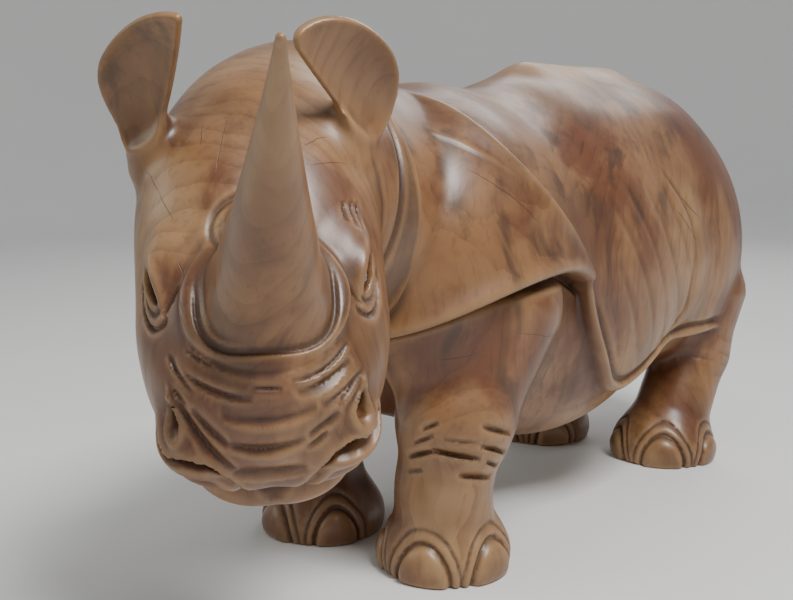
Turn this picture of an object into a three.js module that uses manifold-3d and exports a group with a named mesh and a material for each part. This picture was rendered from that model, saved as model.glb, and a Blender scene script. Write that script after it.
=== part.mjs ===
// A rhinoceros carved from one block of solid wood. It stands on its four feet, with its head lowered and
// turned towards its left shoulder. Folds of thick skin lie over the shoulders, the flanks and the neck, the
// nose is wrinkled, and a long horn with a short one behind it stands on the head.
//
// Millimetres. +Z is up, the tail is towards +Y and the animal's left side is towards +X. The origin is on the
// ground, under the middle of the carving.
//
// The carving is one closed surface: the zero level of a field that is negative in the wood and grows by about
// one for each millimetre away from it. Egg-shaped masses and tapering limbs melt together in it, skins of wood
// are laid over them, and hollows and wrinkles are cut in. The head has axes of its own: a to its left, b
// towards the nose and c out of the forehead.
import * as THREE from "three";
import { mergeVertices } from "three/addons/utils/BufferGeometryUtils.js";
import Module from "manifold-3d";

const { abs, atan2, cos, exp, max, min, pow, sin, sqrt } = Math;
const DEGREE = Math.PI / 180;

const WOOD = { color: 0x9a6f48, roughness: 0.42, metalness: 0 };
const MIDDLE = [55.2, -75.9, 0]; // where the origin lies in the coordinates that the sizes below are given in
const GRID = { low: [-176, -584, -36], high: [292, 436, 476], cell: 4, block: 4 }; // for tracing the surface
const TRIANGLES = 9400;
const FINE = { within: 210, weight: 5 }; // the head's share of the triangles is raised this near to its middle
const FAR = 1e3; // a distance well clear of the wood
const MIDDLE_CURVE = 5; // how widely what is the same on both sides is rounded where the sides meet

// The trunk: masses given for the left half, each with the width of its melt into the ones before it
const TRUNK = [
  { at: [0, -110, 265], radii: [134, 150, 160] }, // chest
  { at: [0, 85, 244], radii: [149, 225, 196], melt: 50 }, // belly
  { at: [0, 245, 280], radii: [142, 152, 160], melt: 60 }, // rump
  { at: [60, 290, 230], radii: [80, 116, 120], melt: 50 }, // haunch
  { at: [66, -150, 258], radii: [80, 112, 130], melt: 50 }, // shoulder
];
const SPINE = { from: [0, 74, 430], to: [0, 240, 434], radii: [13, 8], melt: 40 };
const BODY_FRONT = -470; // the body has no part in front of this
const TAIL_FRONT = 300;
const NECK_REAR = -200;
const NECK = { from: [0, -190, 302], to: [36, -335, 335], radii: [116, 88] };
const CREST = { at: [-4, -258, 385], radii: [62, 95, 62], melt: 40 };
const TAIL = [
  { from: [0, 368, 360], to: [0, 401, 285], radii: [14, 11], melt: 10 },
  { from: [0, 401, 285], to: [0, 400, 215], radii: [11, 9], melt: 8 },
  { from: [0, 398, 210], to: [0, 384, 172], radii: [12, 9], melt: 10 }, // tuft
];

// The skins: thick hides of wood that end in free edges over the core of the body
const CORE = {
  sink: 10, sinkEnds: [395, 335], neckSink: 7, neckMelt: 40, legMelt: 18, legTop: 345,
  breast: 26, breastFront: [-165, -225], breastTop: [285, 235], breastSide: [66, 40],
};
const SHOULDER = {
  peak: [-115, 262], // y and z of the top of the arch over the foreleg
  bend: { front: 0.00186, back: 0.0028 }, // how fast the arch drops away from its top
  rear: { top: -162, sweep: 142, height: 150, from: 400, power: 1.55, steepest: 1.3 },
  front: -288, frontMelt: 20, back: -13, corner: 22, edge: 10, melt: 2.5,
  lift: 5, rim: 7, rimAt: -4, rimWidth: 13, thinning: 0.6, thinFrom: 300, thinTo: 400,
};
// The gap under the shoulder skin's rim, and where it starts and ends
const GAP = { depth: 9, at: 3.5, width: 5, front: [-292, -270], back: [-5, -25], top: [330, 290] };
const FLANK = {
  top: [-35, 248], // y and z where its front edge comes out from under the shoulder
  slope: 0.36, bend: 0.0026, under: 1.3, // the front edge below that point, and above it
  hem: { low: 118, rise: 36, from: 60, to: 200, tail: 12, tailFrom: 330, tailTo: 400 },
  corner: 20, edge: 6, melt: 4,
  ridge: 4, ridgeAt: -1, ridgeWidth: 8, groove: 3.5, grooveAt: 13, grooveWidth: 4, grooveEnds: [238, 208],
};
// The fold and the hollow in front of the hip, and furrows over the ribs
const HIP = {
  fold: 188, above: { from: 240, bend: 0.0055 }, below: { from: 200, bend: 0.02 }, depth: 2.6, width: 6,
  hollow: 3.5, hollowAt: 42, hollowWidth: 26, foot: [120, 160], top: [350, 320],
};
const RIBS = {
  gap: 36, lean: 0.62, depth: 1.5, front: [5, 40], back: [195, 165], foot: [140, 175], top: [350, 300],
};
const COLLAR = {
  rear: -263, low: 216, corner: 36, lift: 6, edge: 7, melt: 2.5,
  groove: 3.2, grooveAt: -300, grooveWidth: 3.5, grooveLean: 0.25, grooveEnds: [250, 300],
};

// The legs: joints from the top down, radii at those joints, and the nails as [turn from the front, half
// width, height]. Rings are arcs round each nail: how far out of it, width and depth
const LEG = { melt: 18, kneeMelt: 16, heel: 20, inner: -30, reach: 190, wrinklesFrom: 50, wrinklesTo: 185 };
const FOOT = {
  height: 42, ankle: 50, melt: 16, rings: [[1.05, 0.1, 4.2], [1.42, 0.08, 2.2]], ringEnds: [100, 70],
  nail: 2.6, nailEdge: [1.02, 0.7],
};
const FORE_NAILS = [[16, 25, 35], [87, 25, 35], [-55, 22, 33]];
const HIND_NAILS = [[25, 25, 35], [96, 24, 33], [-46, 22, 33]];
const FORE = { radii: [61, 48, 38], nails: FORE_NAILS };
const HIND = { radii: [58, 41, 38], nails: HIND_NAILS, wrinkles: 0.12 };
const LEGS = [
  { ...FORE, side: 1, wrinkles: 1, foot: [72, -163, 14], sole: 58,
    joints: [[98, -132, 232], [92, -176, 140], [80, -176, 78]] },
  { ...FORE, side: -1, wrinkles: 0.8, foot: [-77, -158, 14], sole: 59,
    joints: [[-96, -134, 232], [-90, -166, 140], [-82, -162, 78]] },
  { ...HIND, side: 1, foot: [80, 266, 14], sole: 59,
    joints: [[90, 318, 190], [90, 314, 120], [86, 292, 78]] },
  { ...HIND, side: -1, foot: [-80, 256, 14], sole: 59,
    joints: [[-90, 318, 190], [-89, 308, 120], [-85, 282, 78]] },
];
// Knee wrinkles: turn from the front, half span and height above the sole, then slope, width and depth
const KNEE_LIP = 2;
const KNEE_WRINKLES = [
  { turn: 12, span: 14, height: 137, slope: 0.3, width: 7, depth: 3.6 },
  { turn: -3, span: 14, height: 120, slope: 0.35, width: 7, depth: 3.6 },
  { turn: -8, span: 15, height: 102, slope: 0.3, width: 7, depth: 3.4 },
  { turn: 36, span: 24, height: 123, slope: -0.2, width: 9, depth: 5 },
  { turn: 79, span: 17, height: 139, slope: -0.4, width: 7, depth: 3.6 },
  { turn: 83, span: 22, height: 120, slope: -0.35, width: 7, depth: 3.8 },
  { turn: 68, span: 24, height: 101, slope: -0.12, width: 9, depth: 4.6 },
];
const SHIN = { turn: -9, span: 9, height: 84, reach: 17, depth: 2.8 };

// The head: where its middle lies, and how it is turned, lowered and tilted
const HEAD_REAR = -230; // the head has no part behind this
const FACE = { reach: 60, front: 20, low: -70, ears: -30 }; // where the features of the face are looked for
const HEAD = { at: [107, -417, 284], turn: 43, lower: 50, tilt: 3.5, melt: 10 };
const SKULL = [
  { at: [14, -64, -14], radii: [69, 84, 62] }, // back of the skull
  { at: [16, 12, -26], radii: [68, 104, 66], melt: 26 }, // cheeks
  { at: [0, 62, -16], radii: [62, 62, 56], melt: 24 }, // nose
  { at: [40, 98, -16], radii: [30, 28, 16], melt: 12 }, // corners of the upper lip
  { at: [24, 96, -34], radii: [45, 31, 20], melt: 12 }, // lips
  { at: [10, 84, -74], radii: [46, 40, 22], melt: 10 }, // chin
  { at: [0, 44, 20], radii: [46, 46, 30], melt: 18 }, // seat of the horn
  { at: [56, -6, 22], radii: [15, 24, 13], melt: 12 }, // brow
];
const SEAT_EDGE = [-10, 2]; // how far from the height of a horn's seat the groove round the horn fades out
// The horn is round at the tip and squarer at the foot
const HORN = {
  from: [3, 34, 30], to: [18.6, 33, 263], tip: 2.7, width: 36, curve: 1.13, melt: 1.6,
  square: 0.9, squareCurve: 3, flare: 2.5, flareAt: 44, flareWidth: 14,
};
const HORN_SEAT = {
  at: [2.5, 35, 39], radii: [52, 49, 10], melt: 6, ring: 42, squash: 0.965, power: 2.9,
  ringWidth: 3.4, groove: 2.2,
};
const STUB = { from: [0, -15, 34], to: [3, -16, 86], radii: [25, 6], melt: 4 };
const STUB_SEAT = {
  at: [0, -14, 38], radii: [33, 26, 9], melt: 5, ring: 29, squash: 0.877, power: 2,
  ringWidth: 3, groove: 2.2,
};

// Wrinkles on the nose run between two ends, each a distance to the animal's left and a turn about an axis
// across the nose. The bow is how far the middle of a wrinkle lies down the nose
const NOSE = { axis: [30, -20], degree: 1.5, start: [20, 40] };
const NOSE_WRINKLES = [
  { from: [-44, 31], to: [46, 29.5], bow: 17.6, width: 13, lip: 6, depth: 4.6 },
  { from: [-50, 44.5], to: [-8, 53.6], bow: 3.4, width: 5, lip: 4, depth: 2.8 },
  { from: [14, 47.8], to: [50, 34.5], bow: 7.6, width: 5, lip: 3, depth: 2.8 },
  { from: [17, 53], to: [51, 44.5], bow: 4.3, width: 8, lip: 6.5, depth: 3.8 },
  { from: [36, 62], to: [57, 53], bow: 2.6, width: 6, lip: 4, depth: 2.6 },
  { from: [-28, 60.5], to: [29, 60.2], bow: 4, width: 13, lip: 4, depth: 3.4 },
  { from: [-27, 72.3], to: [22, 71.8], bow: 4.8, width: 13, lip: 4, depth: 4.6 },
  { from: [-26, 86], to: [22, 86], bow: 5, width: 16, lip: 5, depth: 4.8 },
  { from: [21, 71.6], to: [43, 66.5], bow: 0.4, width: 6, lip: 4, depth: 2.8 },
  { from: [-56, 35], to: [-44, 52.8], bow: 3.7, width: 5, lip: 3, depth: 2.6 },
  { from: [-46, 61], to: [-22, 74], bow: 2, width: 8, lip: 4, depth: 3.2 },
  { from: [-54, 59.5], to: [-18, 86.5], bow: 4, width: 7, lip: 5, depth: 4 },
];
// The mouth: its line rises from the middle to the corners, it gapes more on the left, and the lower lip
// is undercut
const MOUTH = {
  middle: -58, rise: { by: 49, ends: [0, 40] }, corner: { by: -5, ends: [52, 66] },
  gap: 1, left: { by: 2.6, ends: [34, 50] }, right: { by: 0.6, ends: [34, 50] },
  front: 88, depth: 12, melt: 2, lip: [26, 42], lipAt: -23, lipWidth: 7,
  under: 3.5, underStart: [68, 88], underTop: [1, -3], underFoot: [-18, -6],
};
const NOSTRIL = {
  at: [57.5, 94.5, 4], out: [0.76, 0.42, 0.5], along: [0, 0.93, -0.36], radii: [3.8, 8.5, 12], melt: 1.6,
  point: 0.5, widest: 0.6, right: 0.55, rim: 2.6, rimAt: 1.7, rimWidth: 0.55, rimReach: 14,
};
const EYE = {
  at: [66.5, 10, 21], out: [0.8, 0.1, 0.59], along: [-0.2, 0.95, -0.15], half: [12, 4], ball: 9, sunk: 2,
  opening: 6, edge: [1.2, 0.7], depthReach: 24, reach: 65, melt: 1,
};
// Swellings round the eye: how far across it the hood and the lower lid lie, width, height and bend
const HOOD = { at: 9, width: 4.2, rise: 4, bend: -0.012, middle: 2, half: 18 };
const LID = { at: -7, width: 2.6, rise: 2, bend: 0.012, middle: 0, half: 14 };
// Rolls under the eye: distance from it, middle and half length along it, width, depth and lip. They lie below a
// line that leans, and are flatter than they are long
const BAG = { start: [0, -6], lean: 0.35, squash: 2.9 };
const BAGS = [
  { out: 19, middle: 6, half: 24, width: 6, depth: 2.6, lip: 2 },
  { out: 29, middle: 12, half: 24, width: 7, depth: 4.8, lip: 2.4 },
];
const EAR = {
  out: [0.5, 0.85, 0.15], along: [-0.47, -0.09, 0.88], at: [61.6, -113.9, 73],
  back: { at: [7, 0, 0], radii: [34, 17, 66] }, cup: { at: [7, 8, 2], radii: [32, 16.5, 62], melt: 6 },
  face: 5, faceMelt: 5, edge: 4, cupEdge: 2, melt: 8,
  root: { from: [62, -104, 8], to: [72, -112, 36], radii: [26, 15], melt: 14 },
};
// The ears' outlines: middle and height of the widest place, half width, height above it and depth below it
const EARS = [
  { ...EAR, side: 1, middle: -15.5, level: -14, wide: 52, above: 58, below: 50, lean: 0, corner: 11 },
  { ...EAR, side: -1, middle: -14, level: -10, wide: 50, above: 65, below: 46, lean: 0.28, corner: 4 },
];

const clamp = (v, low, high) => min(max(v, low), high);
const bell = (t) => exp(-t * t);

// A soft step from 0 at `from` to 1 at `to`.
function ease(from, to, v) {
  const t = clamp((v - from) / (to - from), 0, 1);
  return t * t * (3 - 2 * t);
}

// Two solids melted together, a cut with a soft edge, and what two solids share; k is the width of the melt.
function join(d, e, k) {
  const h = max(k - abs(d - e), 0);
  return min(d, e) - (h * h) / (4 * k);
}
const carve = (d, tool, k) => -join(-d, tool, k);
const both = (d, e, k) => -join(-d, -e, k);

// Distance from the middle plane, rounded off close to it.
const mirrored = (v) => sqrt(v * v + MIDDLE_CURVE * MIDDLE_CURVE);

const dot = (p, q) => p[0] * q[0] + p[1] * q[1] + p[2] * q[2];
const cross = (p, q) => [p[1] * q[2] - p[2] * q[1], p[2] * q[0] - p[0] * q[2], p[0] * q[1] - p[1] * q[0]];
const unit = (p) => p.map((v) => v / sqrt(dot(p, p)));

// Distance to an ellipsoid, exact on its surface.
function egg(x, y, z, [cx, cy, cz], [rx, ry, rz]) {
  const u = (x - cx) / rx;
  const v = (y - cy) / ry;
  const w = (z - cz) / rz;
  const reach = sqrt(u * u + v * v + w * w);
  const slope = sqrt((u * u) / (rx * rx) + (v * v) / (ry * ry) + (w * w) / (rz * rz));
  return (reach * (reach - 1)) / (slope + 1e-9);
}

// Distance to a limb that tapers from one round end to the other.
function limb(x, y, z, { from, to, radii }) {
  const dx = to[0] - from[0];
  const dy = to[1] - from[1];
  const dz = to[2] - from[2];
  const along = (x - from[0]) * dx + (y - from[1]) * dy + (z - from[2]) * dz;
  const t = clamp(along / (dx * dx + dy * dy + dz * dz), 0, 1);
  const u = x - from[0] - t * dx;
  const v = y - from[1] - t * dy;
  const w = z - from[2] - t * dz;
  return sqrt(u * u + v * v + w * w) - (radii[0] + (radii[1] - radii[0]) * t);
}

// Distance from an upright line, measured so that what is equally far is a rounded square.
function superellipse(u, v, power) {
  return pow(pow(abs(u), power) + pow(abs(v), power), 1 / power);
}

// The masses of a list melted together.
function melted(masses, x, y, z) {
  const [first, ...others] = masses;
  let d = egg(x, y, z, first.at, first.radii);
  for (const { at, radii, melt } of others) d = join(d, egg(x, y, z, at, radii), melt);
  return d;
}

// Depth of a gouge that sinks slowly over its width and comes up at a sharp lip. It is lens-shaped along its
// length, where u runs from -1 to 1, and t is how far past the lip a point lies.
function gouge(u, t, width, depth, lip) {
  if (abs(u) >= 1 || t <= -width || t >= lip) return 0;
  const side = t < 0 ? pow(1 + t / width, 1.6) : 1 - t / lip;
  return depth * pow(1 - u * u, 0.7) * side;
}

// A frame on the head for a feature that faces `out` and runs `along`.
function featureFrame({ at, out, along }, facing) {
  const n = unit(facing === "along" ? along : out);
  const raw = facing === "along" ? out : along;
  const t = unit(raw.map((v, i) => v - dot(raw, n) * n[i]));
  return { at, n, t, w: cross(n, t) };
}

function trunk(s, y, z) {
  return join(melted(TRUNK, s, y, z), limb(s, y, z, SPINE), SPINE.melt);
}

// How far a point lies outside the outline of the shoulder skin, seen from the side.
function shoulderEdge(y, z) {
  const u = y - SHOULDER.peak[0];
  const low = SHOULDER.peak[1] - (u < 0 ? SHOULDER.bend.front : SHOULDER.bend.back) * u * u - z;
  const { top, sweep, height, from, power, steepest } = SHOULDER.rear;
  const t = clamp((from - z) / height, 0, steepest);
  const slope = ((sweep * power) / height) * pow(t, power - 1);
  const rear = (y - top - sweep * pow(t, power)) / sqrt(1 + slope * slope);
  return both(both(low, rear, SHOULDER.corner), y - SHOULDER.back, SHOULDER.corner);
}

// The same for the skin of the flank, whose hem hangs below the belly's side.
function flankEdge(y, z) {
  const drop = FLANK.top[1] - z;
  const slope = drop > 0 ? FLANK.slope + 2 * FLANK.bend * drop : FLANK.under;
  const edge = FLANK.top[0] + drop * (drop > 0 ? FLANK.slope + FLANK.bend * drop : FLANK.under);
  const { low, rise, from, to, tail, tailFrom, tailTo } = FLANK.hem;
  const hem = low + rise * ease(from, to, y) + tail * ease(tailFrom, tailTo, y);
  return both((edge - y) / sqrt(1 + slope * slope), hem - z, FLANK.corner);
}

function neck(x, y, z) {
  return join(limb(x, y, z, NECK), egg(x, y, z, CREST.at, CREST.radii), CREST.melt);
}

function kneeWrinkles(x, y, z, leg) {
  const [cx, cy] = leg.joints[1];
  const turn = atan2((x - cx) * leg.side, cy - y) / DEGREE;
  let depth = 0;
  for (const k of KNEE_WRINKLES) {
    const off = turn - k.turn;
    depth = max(depth, gouge(off / k.span, k.height + k.slope * off - z, k.width, k.depth, KNEE_LIP));
  }
  return depth + SHIN.depth * bell((turn - SHIN.turn) / SHIN.span) * bell((z - SHIN.height) / SHIN.reach);
}

// Arcs round each nail, and the nail standing out a little.
function toes(x, y, z, leg) {
  const turn = atan2((x - leg.foot[0]) * leg.side, leg.foot[1] - y) / DEGREE;
  let depth = 0;
  for (const [middle, half, height] of leg.nails) {
    const across = ((turn - middle) * DEGREE * leg.sole) / half;
    const ring = sqrt(across * across + (z / height) * (z / height));
    for (const [at, width, deep] of FOOT.rings) depth += deep * bell((ring - at) / width);
    depth -= FOOT.nail * ease(...FOOT.nailEdge, ring);
  }
  return depth * ease(...FOOT.ringEnds, z);
}

function legShape(x, y, z, leg) {
  const [top, knee, ankle] = leg.joints;
  const [wide, middle, narrow] = leg.radii;
  let d = limb(x, y, z, { from: top, to: knee, radii: [wide, middle] });
  d = join(d, limb(x, y, z, { from: knee, to: ankle, radii: [middle, narrow] }), LEG.kneeMelt);
  if (z < LEG.wrinklesTo && z > LEG.wrinklesFrom) d += kneeWrinkles(x, y, z, leg) * leg.wrinkles;
  const heel = { from: ankle, to: [leg.foot[0], leg.foot[1], LEG.heel], radii: [narrow, FOOT.ankle] };
  const hoof = egg(x, y, z, leg.foot, [leg.sole, leg.sole, FOOT.height]);
  const foot = join(limb(x, y, z, heel), hoof, FOOT.melt) + toes(x, y, z, leg);
  return join(d, foot, LEG.melt);
}

function legs(x, y, z) {
  let d = Infinity;
  for (const leg of LEGS) {
    const near = x * leg.side > LEG.inner && abs(y - leg.joints[1][1]) < LEG.reach;
    if (near) d = min(d, legShape(x, y, z, leg));
  }
  return d;
}

// Depth of the soft furrows over the ribs, and of the fold and the hollow in front of the hip.
function flankRelief(y, z) {
  const { above, below } = HIP;
  const bend = above.bend * max(z - above.from, 0) ** 2 + below.bend * max(below.from - z, 0) ** 2;
  const past = y - HIP.fold + bend;
  const hip = HIP.depth * bell(past / HIP.width) + HIP.hollow * bell((past - HIP.hollowAt) / HIP.hollowWidth);
  const rib = 0.5 + 0.5 * cos(((y + RIBS.lean * z) * 2 * Math.PI) / RIBS.gap);
  const along = ease(...RIBS.front, y) * ease(...RIBS.back, y);
  const up = ease(...RIBS.foot, z) * ease(...RIBS.top, z);
  return hip * ease(...HIP.foot, z) * ease(...HIP.top, z) + RIBS.depth * rib ** 3 * along * up;
}

// The flank's skin: a ridge along its hem, and a groove inside the ridge.
function flankSkin(wood, y, z, step) {
  const edge = flankEdge(y, z);
  const ridge = FLANK.ridge * bell((edge - FLANK.ridgeAt) / FLANK.ridgeWidth);
  const groove = FLANK.groove * bell((edge + FLANK.grooveAt) / FLANK.grooveWidth);
  return both(wood + (groove * ease(...FLANK.grooveEnds, z) - ridge) * step, edge, FLANK.edge);
}

// The shoulder's skin: its rim is thick over the leg and thins towards the back.
function shoulderSkin(wood, y, z) {
  const edge = shoulderEdge(y, z);
  const thick = 1 - SHOULDER.thinning * ease(SHOULDER.thinFrom, SHOULDER.thinTo, z);
  const rim = SHOULDER.rim * bell((edge - SHOULDER.rimAt) / SHOULDER.rimWidth);
  const skin = both(wood - (SHOULDER.lift + rim) * thick, edge, SHOULDER.edge);
  return both(skin, SHOULDER.front - y, SHOULDER.frontMelt);
}

// Depth of the gap between the rim of the shoulder's skin and the leg below it.
function underShoulder(y, z) {
  const along = ease(...GAP.front, y) * ease(...GAP.back, y) * ease(...GAP.top, z);
  return along ? GAP.depth * bell((shoulderEdge(y, z) - GAP.at) / GAP.width) * along : 0;
}

// The fold of the neck that lies over the front of the shoulder's skin.
function neckFold(wood, y, z) {
  const edge = both(y - COLLAR.rear, COLLAR.low - z, COLLAR.corner);
  const off = y - COLLAR.grooveAt - COLLAR.grooveLean * (z - COLLAR.grooveEnds[1]);
  const groove = COLLAR.groove * bell(off / COLLAR.grooveWidth) * ease(...COLLAR.grooveEnds, z);
  return both(wood - COLLAR.lift + groove, edge, COLLAR.edge);
}

function body(x, y, z) {
  const s = mirrored(x);
  const wood = trunk(s, y, z) + flankRelief(y, z);
  const nape = y < 0 ? neck(x, y, z) : Infinity;
  const step = ease(...CORE.sinkEnds, y); // the skins' edges fade out round the rump
  const breast = ease(...CORE.breastFront, y) * ease(...CORE.breastTop, z) * ease(...CORE.breastSide, s);
  let d = wood + CORE.sink * step + CORE.breast * breast;
  if (y < 0) d = join(d, nape + CORE.neckSink, CORE.neckMelt);
  if (z < CORE.legTop) d = join(d, legs(x, y, z), CORE.legMelt);
  d = join(d + underShoulder(y, z), flankSkin(wood, y, z, step), FLANK.melt);
  d = join(d, shoulderSkin(wood, y, z), SHOULDER.melt);
  if (y < NECK_REAR) d = join(d, neckFold(nape, y, z), COLLAR.melt);
  if (y > TAIL_FRONT) for (const bone of TAIL) d = join(d, limb(s, y, z, bone), bone.melt);
  return d;
}

const headAxes = (() => {
  const turn = HEAD.turn * DEGREE;
  const lower = HEAD.lower * DEGREE;
  const tilt = HEAD.tilt * DEGREE;
  const left = [cos(turn), sin(turn), 0];
  const nose = [sin(turn) * cos(lower), -cos(turn) * cos(lower), -sin(lower)];
  const crown = [sin(turn) * sin(lower), -cos(turn) * sin(lower), cos(lower)];
  const a = left.map((v, i) => v * cos(tilt) - nose[i] * sin(tilt));
  const b = nose.map((v, i) => v * cos(tilt) + left[i] * sin(tilt));
  return [a, b, crown];
})();

function toHead(x, y, z) {
  const p = [x - HEAD.at[0], y - HEAD.at[1], z - HEAD.at[2]];
  return headAxes.map((axis) => dot(p, axis));
}

function noseWrinkles(a, b, c) {
  const turn = atan2(b - NOSE.axis[0], c - NOSE.axis[1]) / DEGREE;
  let depth = 0;
  for (const { from, to, bow, width, lip, depth: deep } of NOSE_WRINKLES) {
    const across = (to[0] - from[0]) / 2;
    const down = ((to[1] - from[1]) / 2) * NOSE.degree;
    const half = sqrt(across * across + down * down);
    const x = a - (from[0] + to[0]) / 2;
    const y = (turn - (from[1] + to[1]) / 2) * NOSE.degree;
    const u = (x * across + y * down) / (half * half);
    depth = max(depth, gouge(u, (y * across - x * down) / half - bow * (1 - u * u), width, deep, lip));
  }
  return depth * ease(...NOSE.start, b);
}

function mouth(d, a, b, c) {
  const s = mirrored(a);
  const { rise, corner, left, right } = MOUTH;
  const off = c - MOUTH.middle - rise.by * ease(...rise.ends, s) - corner.by * ease(...corner.ends, s);
  const gap = MOUTH.gap + left.by * ease(...left.ends, a) + right.by * ease(...right.ends, -a);
  const slit = max(abs(off) - gap, MOUTH.front - b, -(d + MOUTH.depth));
  const side = ease(...MOUTH.lip, s);
  const middle = ease(...MOUTH.underTop, off) * ease(...MOUTH.underFoot, off);
  const under = middle * (1 - side) + bell((off - MOUTH.lipAt) / MOUTH.lipWidth) * side;
  return carve(d, slit, MOUTH.melt) + MOUTH.under * under * ease(...MOUTH.underStart, b);
}

// A nostril is a narrow upright opening, pointed at the top, with a raised rim; the right one is hardly open.
const nostrilFrame = featureFrame(NOSTRIL, "out");
function nostril(d, a, b, c) {
  const p = [mirrored(a) - NOSTRIL.at[0], b - NOSTRIL.at[1], c - NOSTRIL.at[2]];
  const [n, t, w] = [dot(p, nostrilFrame.n), dot(p, nostrilFrame.t), dot(p, nostrilFrame.w)];
  const [wide, tall] = NOSTRIL.radii;
  const taper = (1 + NOSTRIL.point * clamp(t / tall, -1, NOSTRIL.widest)) * (a > 0 ? 1 : NOSTRIL.right);
  const ring = sqrt((w / wide / taper) ** 2 + (t / tall) ** 2);
  const rim = NOSTRIL.rim * bell((ring - NOSTRIL.rimAt) / NOSTRIL.rimWidth) * bell(n / NOSTRIL.rimReach);
  return carve(d - rim, egg(w / taper, t, n, [0, 0, 0], NOSTRIL.radii), NOSTRIL.melt);
}

// An eye is a narrow opening over a ball, hooded by the brow, with rolls of skin under it.
const eyeFrame = featureFrame(EYE, "out");
function eye(d, s, b, c) {
  const p = [s - EYE.at[0], b - EYE.at[1], c - EYE.at[2]];
  const n = dot(p, eyeFrame.n);
  const t = dot(p, eyeFrame.t);
  const w = dot(p, eyeFrame.w) * (eyeFrame.w[2] < 0 ? -1 : 1);
  if (t * t + w * w + n * n > EYE.reach ** 2) return d;
  const ring = sqrt((t / EYE.half[0]) ** 2 + (w / EYE.half[1]) ** 2);
  let depth = EYE.opening * ease(...EYE.edge, ring);
  for (const { at, width, rise, bend, middle, half } of [HOOD, LID]) {
    depth -= rise * bell((w - at - bend * t * t) / width) * bell((t - middle) / half);
  }
  const below = ease(...BAG.start, w - BAG.lean * t);
  const reach = sqrt(t * t + BAG.squash * w * w);
  for (const bag of BAGS) {
    depth += below * gouge((t - bag.middle) / bag.half, bag.out - reach, bag.width, bag.depth, bag.lip);
  }
  const ball = sqrt(t * t + w * w + (n + EYE.ball + EYE.sunk) ** 2) - EYE.ball;
  return join(d + depth * bell(n / EYE.depthReach), ball, EYE.melt);
}

// A horn's seat is a flat swelling with a groove round the horn.
function seat(d, a, b, c, size) {
  const ring = superellipse(a - size.at[0], (b - size.at[1]) / size.squash, size.power) - size.ring;
  const swollen = join(d, egg(a, b, c, size.at, size.radii), size.melt);
  return swollen + size.groove * bell(ring / size.ringWidth) * ease(...SEAT_EDGE, c - size.at[2]);
}

function horn(a, b, c) {
  const { from, to } = HORN;
  const t = clamp((c - from[2]) / (to[2] - from[2]), 0, 1);
  const flare = HORN.flare * bell((c - HORN.flareAt) / HORN.flareWidth);
  const radius = HORN.tip + HORN.width * pow(1 - t, HORN.curve) + flare;
  const across = a - from[0] - (to[0] - from[0]) * t;
  const out = superellipse(across, b - from[1], 2 + HORN.square * pow(1 - t, HORN.squareCurve));
  const past = c - clamp(c, from[2], to[2]);
  return sqrt(out * out + past * past) - radius;
}

// An ear is a thin leaf with a straight inner edge, hollowed to a shallow cup.
const earFrames = EARS.map((ear) => featureFrame(ear, "along"));
function ear(d, a, b, c) {
  const i = a > 0 ? 0 : 1;
  const { at, side, middle, level, wide, above, below, lean, corner, back, cup, root, ...size } = EARS[i];
  const { n, t, w } = earFrames[i];
  const p = [a * side - at[0], b - at[1], c - at[2]];
  const [across, out, up] = [dot(p, w) * (w[0] < 0 ? -1 : 1), dot(p, t), dot(p, n)];
  const height = (up - level) * (up > level ? 1 : above / below);
  const round = egg(across - middle, 0, height, [0, 0, 0], [wide, 1, above]);
  const outline = both(round, middle - across + lean * (up - level), corner);
  const leaf = both(egg(across, out, up, back.at, back.radii), out - size.face, size.faceMelt);
  const rooted = join(d, limb(a * side, b, c, root), root.melt);
  const whole = join(rooted, both(leaf, outline, size.edge), size.melt);
  const hollow = both(egg(across, out, up, cup.at, cup.radii), outline + size.cupEdge, size.edge);
  return carve(whole, hollow, cup.melt);
}

function head(x, y, z) {
  const [a, b, c] = toHead(x, y, z);
  let d = melted(SKULL, mirrored(a), b, c);
  if (d < FACE.reach) {
    if (b > FACE.front && c > FACE.low) {
      d += noseWrinkles(a, b, c);
      d = mouth(d, a, b, c);
      d = nostril(d, a, b, c);
    }
    d = eye(d, abs(a), b, c);
    d = seat(d, a, b, c, STUB_SEAT);
    d = seat(d, a, b, c, HORN_SEAT);
  }
  d = join(d, limb(a, b, c, STUB), STUB.melt);
  d = join(d, horn(a, b, c), HORN.melt);
  return b < FACE.ears ? ear(d, a, b, c) : d;
}

function carving(x, y, z) {
  const d = y > BODY_FRONT ? body(x, y, z) : Infinity;
  return y < HEAD_REAR ? join(min(d, FAR), head(x, y, z), HEAD.melt) : d;
}

// Corners of a grid cell, and the six tetrahedra that it is cut into for tracing the surface.
const CORNERS = [[0, 0, 0], [1, 0, 0], [1, 1, 0], [0, 1, 0], [0, 0, 1], [1, 0, 1], [1, 1, 1], [0, 1, 1]];
const TETRAHEDRA = [[0, 5, 1, 6], [0, 1, 2, 6], [0, 2, 3, 6], [0, 3, 7, 6], [0, 7, 4, 6], [0, 4, 5, 6]];

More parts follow.
